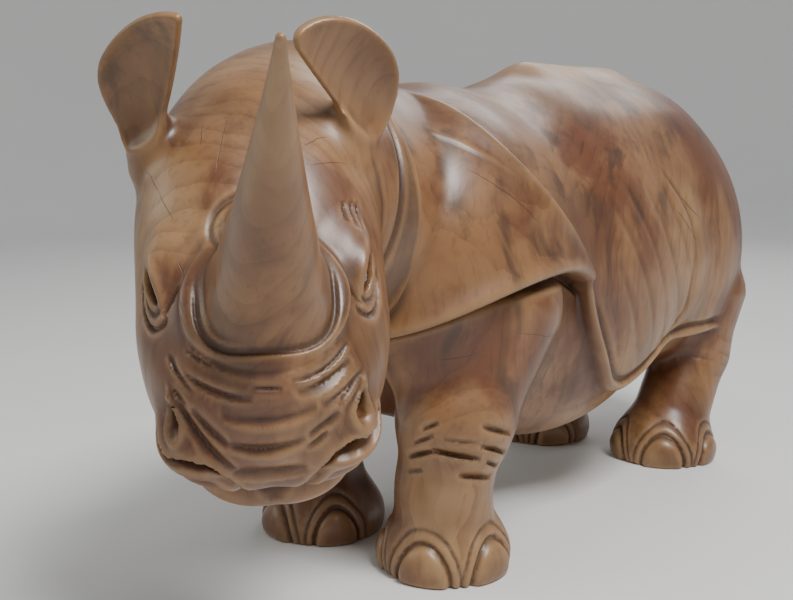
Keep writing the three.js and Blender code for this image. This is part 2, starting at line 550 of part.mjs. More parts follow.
// The closed triangle mesh of the zero level of a field, found cell by cell where a coarse look says it is
// near.
function traceSurface(field, { low, high, cell, block }) {
  const counts = low.map((v, i) => Math.ceil((high[i] - v) / (cell * block)) * block);
  const [nx, ny] = [counts[0] + 1, counts[1] + 1];
  const total = nx * ny * (counts[2] + 1);
  const known = new Float32Array(total).fill(NaN);
  const points = [];
  const faces = [];
  const crossings = new Map();
  const place = (i, j, k) => [low[0] + i * cell, low[1] + j * cell, low[2] + k * cell];

  function valueAt(i, j, k) {
    const slot = (k * ny + j) * nx + i;
    if (Number.isNaN(known[slot])) known[slot] = field(...place(i, j, k));
    return known[slot];
  }

  // The vertex where the surface crosses a grid edge, made once for all the faces round it.
  function crossing(p, q) {
    const key = min(p.slot, q.slot) * total + max(p.slot, q.slot);
    let vertex = crossings.get(key);
    if (vertex === undefined) {
      const t = p.value / (p.value - q.value);
      vertex = points.length / 3;
      crossings.set(key, vertex);
      for (let i = 0; i < 3; i++) points.push(p.at[i] + t * (q.at[i] - p.at[i]));
    }
    return vertex;
  }

  // The faces of one tetrahedron. The order of its corners, not the faces' areas, says which way they look.
  function cutTetrahedron(corners) {
    const inside = [0, 1, 2, 3].filter((n) => corners[n].value < 0);
    const outside = [0, 1, 2, 3].filter((n) => corners[n].value >= 0);
    if (!inside.length || !outside.length) return;
    const edge = (n, m) => crossing(corners[n], corners[m]);
    if (inside.length === 2) {
      const [[i, j], [k, l]] = [inside, outside];
      const loop = [edge(i, k), edge(i, l), edge(j, l), edge(j, k)];
      if ((i + j) % 2 === 0) loop.reverse();
      faces.push(loop[0], loop[1], loop[2], loop[0], loop[2], loop[3]);
      return;
    }
    const [[single], others] = inside.length === 1 ? [inside, outside] : [outside, inside];
    const face = others.map((n) => edge(single, n));
    if ((single % 2 === 1) !== (inside.length === 3)) face.reverse();
    faces.push(...face);
  }

  function cutCell(i, j, k) {
    const values = CORNERS.map(([u, v, w]) => valueAt(i + u, j + v, k + w));
    const wet = values.filter((v) => v < 0).length;
    if (wet === 0 || wet === 8) return;
    const corners = CORNERS.map(([u, v, w], n) => ({
      slot: ((k + w) * ny + j + v) * nx + i + u,
      at: place(i + u, j + v, k + w),
      value: values[n],
    }));
    for (const four of TETRAHEDRA) cutTetrahedron(four.map((n) => corners[n]));
  }

  const near = cell * block * 1.6 + 6;
  const half = block / 2;
  for (let k = 0; k < counts[2]; k += block) {
    for (let j = 0; j < counts[1]; j += block) {
      for (let i = 0; i < counts[0]; i += block) {
        if (abs(field(...place(i + half, j + half, k + half))) > near) continue;
        for (let n = 0; n < block ** 3; n++) {
          cutCell(i + (n % block), j + (Math.floor(n / block) % block), k + Math.floor(n / block ** 2));
        }
      }
    }
  }
  return { points: Float64Array.from(points), faces: Int32Array.from(faces) };
}

// Thins a closed mesh to about `wanted` faces. The edge whose loss moves the surface least goes first, measured
// by the squared distances to the planes round it. No step may turn a face over, pinch the surface or make a
// sliver.
function thin({ points, faces }, wanted, weightAt) {
  const vertexCount = points.length / 3;
  const faceCount = faces.length / 3;
  const planes = new Float64Array(vertexCount * 10); // sums of products of the planes' four numbers
  const rings = Array.from({ length: vertexCount }, () => []); // the faces round each vertex
  const age = new Int32Array(vertexCount);
  const alive = new Uint8Array(faceCount).fill(1);
  const seen = new Int32Array(vertexCount);
  const heap = [];
  const normal = new Float64Array(3);
  const trial = new Float64Array(9);
  let look = 0;

  // Twice the area of the triangle held in `trial`; its normal is left in `normal`.
  function measure() {
    const [px, py, pz, qx, qy, qz, rx, ry, rz] = trial;
    normal[0] = (qy - py) * (rz - pz) - (qz - pz) * (ry - py);
    normal[1] = (qz - pz) * (rx - px) - (qx - px) * (rz - pz);
    normal[2] = (qx - px) * (ry - py) - (qy - py) * (rx - px);
    return sqrt(dot(normal, normal));
  }

  function longestSide() {
    let longest = 1e-12;
    for (let i = 0; i < 9; i += 3) {
      const j = (i + 3) % 9;
      const [dx, dy, dz] = [0, 1, 2].map((n) => trial[i + n] - trial[j + n]);
      longest = max(longest, dx * dx + dy * dy + dz * dz);
    }
    return longest;
  }

  function load(f) {
    for (let i = 0; i < 9; i++) trial[i] = points[faces[f * 3 + Math.trunc(i / 3)] * 3 + (i % 3)];
  }

  function addPlane(f) {
    load(f);
    const area = measure();
    if (area < 1e-12) return;
    const [a, b, c] = normal.map((v) => v / area);
    const d = -(a * trial[0] + b * trial[1] + c * trial[2]);
    const weight = area * weightAt(trial);
    const terms = [a * a, a * b, a * c, a * d, b * b, b * c, b * d, c * c, c * d, d * d];
    for (let i = f * 3; i < f * 3 + 3; i++) {
      for (let n = 0; n < 10; n++) planes[faces[i] * 10 + n] += weight * terms[n];
    }
  }

  function push(item) {
    let i = heap.push(item) - 1;
    while (i > 0 && heap[(i - 1) >> 1].cost > item.cost) {
      heap[i] = heap[(i - 1) >> 1];
      i = (i - 1) >> 1;
    }
    heap[i] = item;
  }

  function pop() {
    const first = heap[0];
    const last = heap.pop();
    if (!heap.length) return first;
    let i = 0;
    for (let child = 1; child < heap.length; child = 2 * i + 1) {
      if (child + 1 < heap.length && heap[child + 1].cost < heap[child].cost) child++;
      if (heap[child].cost >= last.cost) break;
      heap[i] = heap[child];
      i = child;
    }
    heap[i] = last;
    return first;
  }

  // Puts an edge on the heap with the best place for the one vertex that would take the place of its two.
  function offer(u, v) {
    const q = (n) => planes[u * 10 + n] + planes[v * 10 + n];
    const [aa, ab, ac, ad, bb] = [q(0), q(1), q(2), q(3), q(4)];
    const [bc, bd, cc, cd, dd] = [q(5), q(6), q(7), q(8), q(9)];
    const [i, j] = [u * 3, v * 3];
    const mx = (points[i] + points[j]) / 2;
    const my = (points[i + 1] + points[j + 1]) / 2;
    const mz = (points[i + 2] + points[j + 2]) / 2;
    const length = 4 * ((points[i] - mx) ** 2 + (points[i + 1] - my) ** 2 + (points[i + 2] - mz) ** 2);
    const size = aa + bb + cc;
    const pull = 1e-3 * size + 1e-12; // towards the middle of the edge, where the planes leave the place open
    const [xx, yy, zz] = [aa + pull, bb + pull, cc + pull];
    const [rx, ry, rz] = [pull * mx - ad, pull * my - bd, pull * mz - cd];
    const volume = xx * (yy * zz - bc * bc) - ab * (ab * zz - bc * ac) + ac * (ab * bc - yy * ac);
    let [x, y, z] = [mx, my, mz];
    if (abs(volume) > 1e-18) {
      const sx = (rx * (yy * zz - bc * bc) - ab * (ry * zz - bc * rz) + ac * (ry * bc - yy * rz)) / volume;
      const sy = (xx * (ry * zz - bc * rz) - rx * (ab * zz - bc * ac) + ac * (ab * rz - ry * ac)) / volume;
      const sz = (xx * (yy * rz - ry * bc) - ab * (ab * rz - ry * ac) + rx * (ab * bc - yy * ac)) / volume;
      if ((sx - mx) ** 2 + (sy - my) ** 2 + (sz - mz) ** 2 < 1.5 * length) [x, y, z] = [sx, sy, sz];
    }
    const square = aa * x * x + bb * y * y + cc * z * z + dd;
    const mixed = ab * x * y + ac * x * z + bc * y * z + ad * x + bd * y + cd * z;
    const cost = max(0, square + 2 * mixed) + 1e-5 * length * size;
    push({ cost, u, v, x, y, z, ageU: age[u], ageV: age[v] });
  }

  // The vertices joined to one vertex by an edge.
  function neighbours(vertex) {
    const found = [];
    look++;
    seen[vertex] = look;
    for (const f of rings[vertex]) {
      for (let i = f * 3; i < f * 3 + 3; i++) {
        if (seen[faces[i]] === look) continue;
        seen[faces[i]] = look;
        found.push(faces[i]);
      }
    }
    return found;
  }

  // The mean normal of the faces round a vertex, which a sliver's own normal can't be trusted to show.
  function meanNormal(vertex) {
    const sum = [0, 0, 0];
    for (const f of rings[vertex]) {
      load(f);
      measure();
      for (let i = 0; i < 3; i++) sum[i] += normal[i];
    }
    return sum;
  }

  function keepsShape(moving, other, edge) {
    const mean = meanNormal(moving);
    for (const f of rings[moving]) {
      const i = [faces[f * 3], faces[f * 3 + 1], faces[f * 3 + 2]];
      if (i.includes(other)) continue;
      load(f);
      const oldArea = measure();
      const oldRoundness = oldArea / longestSide();
      const before = oldRoundness < 0.1 ? mean : [normal[0], normal[1], normal[2]];
      trial.set([edge.x, edge.y, edge.z], i.indexOf(moving) * 3);
      const area = measure();
      if (dot(before, normal) < 0.3 * area * sqrt(dot(before, before))) return false;
      if (area / longestSide() < min(0.06, oldRoundness * 0.6)) return false;
    }
    return true;
  }

  for (let f = 0; f < faceCount; f++) {
    addPlane(f);
    for (let i = 0; i < 3; i++) rings[faces[f * 3 + i]].push(f);
  }
  for (let n = 0; n < faceCount * 3; n++) {
    const next = n % 3 === 2 ? n - 2 : n + 1;
    if (faces[n] < faces[next]) offer(faces[n], faces[next]);
  }
  let left = faceCount;
  while (left > wanted && heap.length) {
    const edge = pop();
    const { u, v } = edge;
    if (age[u] !== edge.ageU || age[v] !== edge.ageV) continue;
    const near = neighbours(u);
    const far = neighbours(v);
    const shared = near.filter((n) => seen[n] === look).length; // v and the two corners beside the edge
    if (shared !== 3 || !keepsShape(u, v, edge) || !keepsShape(v, u, edge)) {
      edge.cost = max(edge.cost, 1e-3) * 4; // refused for now: it comes up again later
      if (edge.cost < 1e4) push(edge);
      continue;
    }
    points.set([edge.x, edge.y, edge.z], u * 3);
    for (let n = 0; n < 10; n++) planes[u * 10 + n] += planes[v * 10 + n];
    for (const f of rings[v]) {
      const i = [faces[f * 3], faces[f * 3 + 1], faces[f * 3 + 2]];
      if (i.includes(u)) {
        alive[f] = 0;
        left--;
      } else {
        faces[f * 3 + i.indexOf(v)] = u;
        rings[u].push(f);
      }
    }
    rings[v] = [];
    age[v] = -1;
    age[u]++;
    for (const n of far) rings[n] = rings[n].filter((f) => alive[f]);
    for (const n of neighbours(u)) offer(min(u, n), max(u, n));
  }

  const renamed = new Map();
  const kept = faces.filter((_, n) => alive[Math.trunc(n / 3)]);
  for (const v of kept) if (!renamed.has(v)) renamed.set(v, renamed.size);
  const placed = new Float32Array(renamed.size * 3);
  for (const [v, n] of renamed) placed.set(points.subarray(v * 3, v * 3 + 3), n * 3);
  return { points: placed, faces: Uint32Array.from(kept, (v) => renamed.get(v)) };
}

function headWeight([x, y, z]) {
  const [cx, cy, cz] = HEAD.at;
  return sqrt((x - cx) ** 2 + (y - cy) ** 2 + (z - cz) ** 2) < FINE.within ? FINE.weight : 1;
}

// The carving without what would be under the ground, so that its soles are flat.
async function carvedGeometry() {
  const wasm = await Module();
  wasm.setup();
  const solid = (points, faces) =>
    new wasm.Manifold(new wasm.Mesh({ numProp: 3, vertProperties: points, triVerts: faces }));
  const { points, faces } = thin(traceSurface(carving, GRID), TRIANGLES, headWeight);
  const box = new THREE.BoxGeometry(2000, 2000, 200).translate(0, 0, -100).deleteAttribute("normal");
  const ground = mergeVertices(box.deleteAttribute("uv"));
  const below = solid(ground.attributes.position.array, new Uint32Array(ground.index.array));
  const cut = solid(points, faces).subtract(below).getMesh();
  return new THREE.BufferGeometry()
    .setAttribute("position", new THREE.BufferAttribute(cut.vertProperties, 3))
    .setIndex(new THREE.BufferAttribute(cut.triVerts, 1));
}

const rhinoceros = new THREE.Mesh(await carvedGeometry(), new THREE.MeshStandardMaterial(WOOD));
rhinoceros.name = "carved_rhinoceros";
rhinoceros.position.set(...MIDDLE.map((v) => -v));

const carvedFigure = new THREE.Group();
carvedFigure.add(rhinoceros);
export default carvedFigure;
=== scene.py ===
"""A rhinoceros carved from one block of wood, finished in fine relief over its solid form.

Sizes in the tables below are in millimetres, in the coordinates that the carving was measured in: +Z
up, the tail towards +Y and the animal's left side towards +X. MIDDLE says where the object's origin lies
in them. The carving is the zero level of a field that is negative in the wood. Masses melt together in
it, skins are laid over them, and wrinkles are cut in. The head has axes of its own: a to its left, b
towards the nose and c out of the forehead.
"""

import math
from concurrent.futures import ThreadPoolExecutor

import bpy
import numpy as np
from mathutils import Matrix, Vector


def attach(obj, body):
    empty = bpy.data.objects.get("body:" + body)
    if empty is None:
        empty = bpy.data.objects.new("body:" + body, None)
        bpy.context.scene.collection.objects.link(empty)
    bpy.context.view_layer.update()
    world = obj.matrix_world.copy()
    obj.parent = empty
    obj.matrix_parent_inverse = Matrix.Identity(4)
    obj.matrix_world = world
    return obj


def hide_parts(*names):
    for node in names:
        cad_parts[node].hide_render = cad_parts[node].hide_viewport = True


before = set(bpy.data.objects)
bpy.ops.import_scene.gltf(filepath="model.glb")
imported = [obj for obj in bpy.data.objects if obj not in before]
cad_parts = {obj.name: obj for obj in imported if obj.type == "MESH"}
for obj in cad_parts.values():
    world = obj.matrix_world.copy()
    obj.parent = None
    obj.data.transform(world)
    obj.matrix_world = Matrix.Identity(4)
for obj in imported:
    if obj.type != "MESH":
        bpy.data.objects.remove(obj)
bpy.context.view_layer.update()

bl_info = {
    "name": "Carved rhinoceros",
    "version": (1, 0, 0),
    "blender": (4, 5, 0),
    "location": "3D View > Sidebar > Carving",
    "description": "Builds a wooden rhinoceros with carved skin folds, on a plain studio floor",
    "category": "Object",
}

NODE = "carved_rhinoceros"
PIECE = "wooden_rhinoceros"
MM = 0.001
DEGREE = math.pi / 180
FAR = 1e3  # a distance well clear of the wood
MIDDLE = np.array([55.2, -75.9, 0.0])
REACH = {"low": (-180, -590, -12), "high": (296, 440, 470)}
BODY_FRONT, NECK_REAR, HEAD_REAR, TAIL_FRONT = -470, -200, -230, 300
SOLE_EDGE = 3  # how far the rim of each sole is rounded off
HEAD_REACH = (220, 260)  # the head's share of the triangles fades out this far from its middle
BODY_SHARE = 0.42  # of all the triangles, those that the body gets
MASK_GAIN = 5

# The trunk: masses given for the left half, each with the width of its melt into the ones before it
TRUNK = [
    {"at": (0, -110, 265), "radii": (134, 150, 160)},  # chest
    {"at": (0, 85, 244), "radii": (149, 225, 196), "melt": 50},  # belly
    {"at": (0, 245, 280), "radii": (142, 152, 160), "melt": 60},  # rump
    {"at": (60, 290, 230), "radii": (80, 116, 120), "melt": 50},  # haunch
    {"at": (66, -150, 258), "radii": (80, 112, 130), "melt": 50},  # shoulder
]
SPINE = {"from": (0, 74, 430), "to": (0, 240, 434), "radii": (13, 8), "melt": 40}
NECK = {"from": (0, -190, 302), "to": (36, -335, 335), "radii": (116, 88)}
CREST = {"at": (-4, -258, 385), "radii": (62, 95, 62), "melt": 40}
TAIL = [
    {"from": (0, 368, 360), "to": (0, 401, 285), "radii": (14, 11), "melt": 10},
    {"from": (0, 401, 285), "to": (0, 400, 215), "radii": (11, 9), "melt": 8},
    {"from": (0, 398, 210), "to": (0, 384, 172), "radii": (12, 9), "melt": 10},  # tuft
]

# The skins: thick hides of wood that end in free edges over the core of the body
CORE = {
    "sink": 10, "ends": (395, 335), "neck_sink": 7, "neck_melt": 40, "leg_melt": 18, "leg_top": 345,
    "breast": 26, "breast_front": (-165, -225), "breast_top": (285, 235), "breast_side": (66, 40),
}
SHOULDER = {
    "peak": (-115, 262), "front_bend": 0.00186, "back_bend": 0.0028,
    "top": -162, "sweep": 142, "height": 150, "from": 400, "power": 1.55,
    "steepest": 1.3, "front": -288, "front_melt": 20, "back": -13, "corner": 22, "edge": 10, "melt": 2.5,
    "lift": 5, "rim": 7, "rim_at": -4, "rim_width": 13, "thinning": 0.6, "thin": (300, 400),
}
# The gap under the shoulder skin's rim, and where it starts and ends
GAP = {"depth": 9, "at": 3.5, "width": 5, "front": (-292, -270), "back": (-5, -25), "top": (330, 290)}
FLANK = {
    "top": (-35, 248), "slope": 0.36, "bend": 0.0026, "under": 1.3,
    "low": 118, "rise": 36, "rise_ends": (60, 200), "tail": 12, "tail_ends": (330, 400),
    "corner": 20, "edge": 6, "melt": 4, "ridge": 4, "ridge_at": -1, "ridge_width": 8,
    "groove": 3.5, "groove_at": 13, "groove_width": 4, "groove_ends": (238, 208),
}
# The fold and the hollow in front of the hip, and furrows over the ribs
HIP = {
    "fold": 188, "above": (240, 0.0055), "below": (200, 0.02), "depth": 2.6, "width": 6,
    "hollow": 3.5, "hollow_at": 42, "hollow_width": 26, "ends": (120, 160, 320, 350),
}
RIBS = {
    "gap": 36, "lean": 0.62, "depth": 1.5, "ends": (5, 40, 165, 195), "heights": (140, 175, 300, 350),
}
COLLAR = {
    "rear": -263, "low": 216, "corner": 36, "lift": 6, "edge": 7, "melt": 2.5,
    "groove": 3.2, "groove_at": -300, "groove_width": 3.5, "groove_lean": 0.25, "groove_ends": (250, 300),
}

# The legs: joints from the top down, radii at those joints, and the nails as (turn from the front, half
# width, height). Rings are arcs round each nail: how far out of it, width and depth
LEG = {"melt": 18, "knee_melt": 16, "heel": 20, "inner": -30, "reach": 190, "wrinkled": (50, 60, 175, 185)}
FOOT = {
    "height": 42, "ankle": 50, "melt": 16, "rings": ((1.05, 0.09, 3.6), (1.42, 0.07, 1.6)),
    "ring_ends": (100, 70), "nail": 2.2, "nail_edge": (1.02, 0.7),
}
FORE = {"radii": (61, 48, 38), "nails": ((16, 25, 35), (87, 25, 35), (-55, 22, 33))}
HIND = {"radii": (58, 41, 38), "nails": ((25, 25, 35), (96, 24, 33), (-46, 22, 33)), "wrinkles": 0.12}
LEGS = [
    {**FORE, "side": 1, "wrinkles": 1, "foot": (72, -163, 14), "sole": 58,
     "joints": ((98, -132, 232), (92, -176, 140), (80, -176, 78))},
    {**FORE, "side": -1, "wrinkles": 0.8, "foot": (-77, -158, 14), "sole": 59,
     "joints": ((-96, -134, 232), (-90, -166, 140), (-82, -162, 78))},
    {**HIND, "side": 1, "foot": (80, 266, 14), "sole": 59,
     "joints": ((90, 318, 190), (90, 314, 120), (86, 292, 78))},
    {**HIND, "side": -1, "foot": (-80, 256, 14), "sole": 59,
     "joints": ((-90, 318, 190), (-89, 308, 120), (-85, 282, 78))},
]
# Knee wrinkles: turn from the front, half span, height, slope, width and depth
KNEE_LIP = 1.8
KNEE_WRINKLES = [
    (12, 9, 144, 0.4, 6, 3.4),
    (4, 12, 132, 0.4, 6, 3.6),
    (-2, 20, 118, 0.3, 8, 6),
    (-14, 12, 101, 0.2, 6, 3.4),
    (36, 28, 120, -0.16, 9, 7),
    (42, 18, 133, -0.1, 4, 1.8),
    (80, 20, 138, -0.3, 8, 5.4),
    (82, 23, 121, -0.3, 8, 6),
    (84, 14, 108, -0.3, 6, 4.2),
    (66, 27, 97, -0.14, 9, 6.6),
]
SHIN = {"turn": -9, "span": 9, "height": 84, "reach": 17, "depth": 2.8}

# The head: where its middle lies, and how it is turned, lowered and tilted
HEAD = {"at": (107, -417, 284), "turn": 43, "lower": 50, "tilt": 3.5, "melt": 10}
FACE = {"reach": 60, "front": 20, "low": -70, "ears": -30}  # where the face's features are looked for
SKULL = [
    {"at": (14, -64, -14), "radii": (69, 84, 62)},  # back of the skull
    {"at": (16, 12, -26), "radii": (68, 104, 66), "melt": 26},  # cheeks
    {"at": (0, 62, -16), "radii": (62, 62, 56), "melt": 24},  # nose
    {"at": (40, 98, -16), "radii": (30, 28, 16), "melt": 12},  # corners of the upper lip
    {"at": (24, 96, -34), "radii": (45, 31, 20), "melt": 12},  # lips
    {"at": (10, 84, -74), "radii": (46, 40, 22), "melt": 10},  # chin
    {"at": (0, 44, 20), "radii": (46, 46, 30), "melt": 18},  # seat of the horn
    {"at": (56, -6, 22), "radii": (15, 24, 13), "melt": 12},  # brow
]
# The horn is round at the tip and squarer at the foot
HORN = {
    "from": (3, 34, 30), "to": (18.3, 33, 257), "tip": 2.7, "width": 36, "curve": 1.13, "melt": 1.6,
    "flare": 2.5, "flare_at": 44, "flare_width": 14, "square": 0.9, "square_curve": 3,
}
SEAT_EDGE = (-10, 2)  # how far from the height of a horn's seat the groove round the horn fades out
HORN_SEAT = {
    "at": (2.5, 35, 39), "radii": (52, 49, 10), "melt": 6, "ring": 41.5, "squash": 0.965, "power": 2.9,
    "width": 2.2, "groove": 2.8, "groove_from": (8, 44),
}
STUB = {"from": (0, -15, 34), "to": (3, -16, 86), "radii": (25, 6), "melt": 4}
STUB_SEAT = {
    "at": (0, -14, 38), "radii": (33, 26, 9), "melt": 5, "ring": 29, "squash": 0.877, "power": 2,
    "width": 3, "groove": 2.2, "groove_from": (-90, -60),
}

# Nose wrinkles run between two ends, each a distance to the animal's left and a turn about an axis
# across the nose. The bow is how far the middle lies down the nose, and then come the width, the lip and
# the depth
NOSE = {"axis": (30, -20), "degree": 1.5, "start": (20, 40)}
NOSE_WRINKLES = [
    ((-44, 31), (46, 29.5), 17.6, 13, 6, 4.6),
    ((-9, 49.2), (10, 50.3), 0.3, 2.5, 1.8, 2),
    ((-50, 44.5), (-8, 53.6), 3.4, 4, 3, 2.4),
    ((-46, 32.5), (-29, 40.6), 1.2, 3, 2, 2),
    ((27, 34.8), (45, 25.5), 3.8, 3, 2, 2),
    ((14, 47.8), (50, 34.5), 7.6, 5, 2.5, 2.6),
    ((17, 53), (51, 44.5), 4.3, 8, 6.5, 3.8),
    ((32, 60.6), (57, 53.5), 2.8, 5, 3, 2.4),
    ((41, 63.2), (57, 52.8), 2, 4, 2.2, 2),
    ((-28, 60.5), (29, 60.2), 4, 13, 3.5, 3.4),
    ((-27, 72.3), (22, 71.8), 4.8, 13, 4, 4.6),
    ((-26, 86), (22, 86), 5, 16, 5, 4.8),
    ((21, 71.6), (43, 66.5), 0.4, 6, 4, 2.6),
    ((21, 76.4), (35, 71.8), 0.8, 4, 3, 2),
    ((-56, 35), (-44, 52.8), 3.7, 4, 2.5, 2.4),
    ((-56, 54.5), (-48, 61.2), 0, 3, 2, 1.8),
    ((-46, 61), (-22, 74), 2, 8, 4, 3.2),
    ((-54, 59.5), (-18, 86.5), 4, 7, 5, 4),
    ((-49, 68), (-23, 84.5), 3.6, 4, 2.5, 2.2),
]
# The mouth: its line rises from the middle to the corners, it gapes more on the left, and the lower lip
# is undercut
MOUTH = {
    "middle": -58, "rise": 49, "from": (0, 40), "corner": -5, "corner_from": (52, 66),
    "narrow": 1, "wide": (3.4, 0.6), "wide_from": (30, 48), "front": 88, "depth": 12, "melt": 2,
    "lip": (26, 42), "lip_at": -23, "lip_width": 7,
    "under": 3.5, "under_start": (68, 88), "under_top": (1, -3), "under_foot": (-18, -6),
}
NOSTRIL = {
    "at": (57.5, 94.5, 4), "out": (0.76, 0.42, 0.5), "along": (0, 0.93, -0.36),
    "radii": (3.8, 8.5, 12), "melt": 1.6, "point": 0.5, "widest": 0.6, "right": 0.8, "shallow": 7,
    "rim": 2.6, "rim_at": 1.7, "rim_width": 0.55, "rim_reach": 14,
}
EYE = {
    "at": (66.5, 10, 21), "out": (0.8, 0.1, 0.59), "along": (-0.2, 0.95, -0.15), "half": (12, 4),
    "ball": 9, "sunk": 2, "opening": 6, "edge": (1.2, 0.7), "dark_edge": (1.0, 0.8), "dark_reach": 20,
    "depth_reach": 24, "reach": 64.8, "melt": 1,
}
# Swellings round the eye: how far across it the hood and the lower lid lie, width, height, bend, middle
# and half length
LIDS = [(9, 4.2, 4, -0.012, 2, 18), (-7, 2.6, 2, 0.012, 0, 14)]
# Rolls under the eye: distance from it, middle and half length along it, width, depth and lip. They lie
# below a line that leans, and are flatter than they are long
BAG = {"start": (0, -6), "lean": 0.35, "squash": 2.9}
BAGS = [(19, 6, 24, 6, 2.6, 2), (29, 12, 24, 7, 4.8, 2.4)]
# A crease at the inner corner of the eye: middle and half length along it, where it crosses the middle,
# slope, width, depth and lip
CREASE = (17, 8, 11.4, 0.9, 3.5, 2.6, 1.6)
# Slits in the left brow: along, across, half length; and the width, depth and lip of each
SLIT = (2.8, 2, 2)
BROW_SLITS = [(-39, 16, 9), (-39, 10, 12), (-40, 4.5, 13)]
EAR = {
    "out": (0.5, 0.85, 0.15), "along": (-0.47, -0.09, 0.88), "at": (61.6, -113.9, 73),
    "back": {"at": (7, 0, 0), "radii": (34, 16, 66)},
    "cup": {"at": (7, 8, 2), "radii": (32, 16.5, 62), "melt": 6},
    "face": 5, "face_melt": 5, "edge": 4, "cup_edge": 2, "melt": 8,
    "root": {"from": (62, -104, 8), "to": (72, -112, 36), "radii": (26, 15), "melt": 14},
}
EARS = [
    {**EAR, "side": 1, "outline": (-15.5, -14), "radii": (52, 58, 50), "lean": 0, "corner": 11},
    {**EAR, "side": -1, "outline": (-14, -10), "radii": (50, 65, 46), "lean": 0.28, "corner": 4},
]

# Hairline cracks: two ends and the width. They wander a little, and don't go through the wood
CRACK = {"wobble": 0.007, "depth": 0.04, "dark": 0.75}
CRACKS = [
    ((29, -446, 355), (53, -455, 343), 0.42),  # forehead
    ((53, -455, 343), (75, -464, 327), 0.42),
    ((53, -415, 389), (67, -432, 372), 0.36),
    ((64, -402, 397), (89, -437, 355), 0.36),
    ((117, -386, 373), (121, -365, 381), 0.36),
    ((127, -390, 361), (132, -359, 362), 0.36),
    ((93, -473, 302), (118, -494, 275), 0.42),
    ((118, -200, 352), (151, -143, 306), 0.66),  # shoulder
    ((108, -219, 199), (134, -191, 206), 0.48),  # foreleg
    ((143, -178, 222), (123, -53, 214), 0.48),
    ((113, -41, 186), (69, -29, 115), 0.72),
    ((143, 141, 300), (148, 188, 266), 0.84),  # flank
    ((150, 150, 318), (152, 196, 284), 0.72),
    ((20, 120, 430), (70, 210, 424), 0.54),  # back
    ((-128, -60, 330), (-140, -10, 250), 0.54),  # right side
    ((-136, 150, 330), (-142, 190, 250), 0.6),
    ((-60, 340, 330), (-20, 384, 300), 0.48),
]


def bell(t):
    return np.exp(-t * t)


def ease(start, end, v):
    """A soft step from 0 at start to 1 at end."""
    t = np.clip((v - start) / (end - start), 0, 1)
    return t * t * (3 - 2 * t)


def join(d, e, k):
    """Two solids melted together over a width k."""
    h = np.maximum(k - np.abs(d - e), 0)
    return np.minimum(d, e) - h * h / (4 * k)


def carve(d, tool, k):
    return -join(-d, tool, k)


def both(d, e, k):
    return -join(-d, -e, k)


def egg(p, at, radii):
    """Distance to an ellipsoid, exact on its surface."""
    u, v, w = [(p[i] - at[i]) / radii[i] for i in range(3)]
    reach = np.sqrt(u * u + v * v + w * w)
    slope = np.sqrt((u / radii[0]) ** 2 + (v / radii[1]) ** 2 + (w / radii[2]) ** 2)
    return reach * (reach - 1) / (slope + 1e-9)


def limb(p, start, end, radii):
    """Distance to a limb that tapers from one round end to the other."""
    axis = np.subtract(end, start).astype(float)
    q = [p[i] - start[i] for i in range(3)]
    t = np.clip(sum(q[i] * axis[i] for i in range(3)) / axis.dot(axis), 0, 1)
    off = [q[i] - t * axis[i] for i in range(3)]
    return np.sqrt(sum(v * v for v in off)) - (radii[0] + (radii[1] - radii[0]) * t)


def bone(p, size):
    """A limb given as a table."""
    return limb(p, size["from"], size["to"], size["radii"])


def melted(masses, p):
    """The masses of a list melted together."""
    d = egg(p, masses[0]["at"], masses[0]["radii"])
    for mass in masses[1:]:
        d = join(d, egg(p, mass["at"], mass["radii"]), mass["melt"])
    return d


def gouge(u, t, width, depth, lip):
    """Depth of a gouge that sinks slowly over its width and comes up at a sharp lip. It is lens-shaped along
    its length, where u runs from -1 to 1, and t is how far past the lip a point lies."""
    side = np.where(t < 0, np.clip(1 + t / width, 0, 1) ** 1.6, np.clip(1 - t / lip, 0, 1))
    return depth * np.clip(1 - u * u, 0, 1) ** 0.7 * side


def feature_frame(size, facing):
    """Axes for a feature of the head: the way it faces or runs first, then the other, then across."""
    first, second = size["out"], size["along"]
    if facing == "along":
        first, second = second, first
    n = np.array(first) / np.linalg.norm(first)
    t = np.array(second) - np.dot(second, n) * n
    t /= np.linalg.norm(t)
    return n, t, np.cross(n, t)


def mirrored(v, soft=5):
    """Distance from the middle plane, rounded off close to it."""
    return np.sqrt(v * v + soft * soft)


def superellipse(u, v, power):
    """Distance from an upright line, measured so that what is equally far is a rounded square."""
    return (np.abs(u) ** power + np.abs(v) ** power) ** (1 / power)


def inside_where(mask, value, p, make):
    """Works out a field only where the mask is set."""
    result = np.array(value, dtype=float)
    if mask.any():
        result[mask] = make(p[:, mask], result[mask])
    return result


def shoulder_edge(y, z):
    """How far a point lies outside the outline of the shoulder skin, seen from the side."""
    size = SHOULDER
    u = y - size["peak"][0]
    low = size["peak"][1] - np.where(u < 0, size["front_bend"], size["back_bend"]) * u * u - z
    t = np.clip((size["from"] - z) / size["height"], 0, size["steepest"])
    slope = size["sweep"] * size["power"] / size["height"] * t ** (size["power"] - 1)
    rear = (y - size["top"] - size["sweep"] * t ** size["power"]) / np.sqrt(1 + slope * slope)
    return both(both(low, rear, size["corner"]), y - size["back"], size["corner"])


def flank_edge(y, z):
    """The same for the skin of the flank, whose hem hangs below the belly's side."""
    size = FLANK
    drop = size["top"][1] - z
    slope = np.where(drop > 0, size["slope"] + 2 * size["bend"] * drop, size["under"])
    chord = np.where(drop > 0, size["slope"] + size["bend"] * drop, size["under"])
    edge = size["top"][0] + drop * chord
    hem = size["low"] + size["rise"] * ease(*size["rise_ends"], y)
    hem = hem + size["tail"] * ease(*size["tail_ends"], y)
    return both((edge - y) / np.sqrt(1 + slope * slope), hem - z, size["corner"])


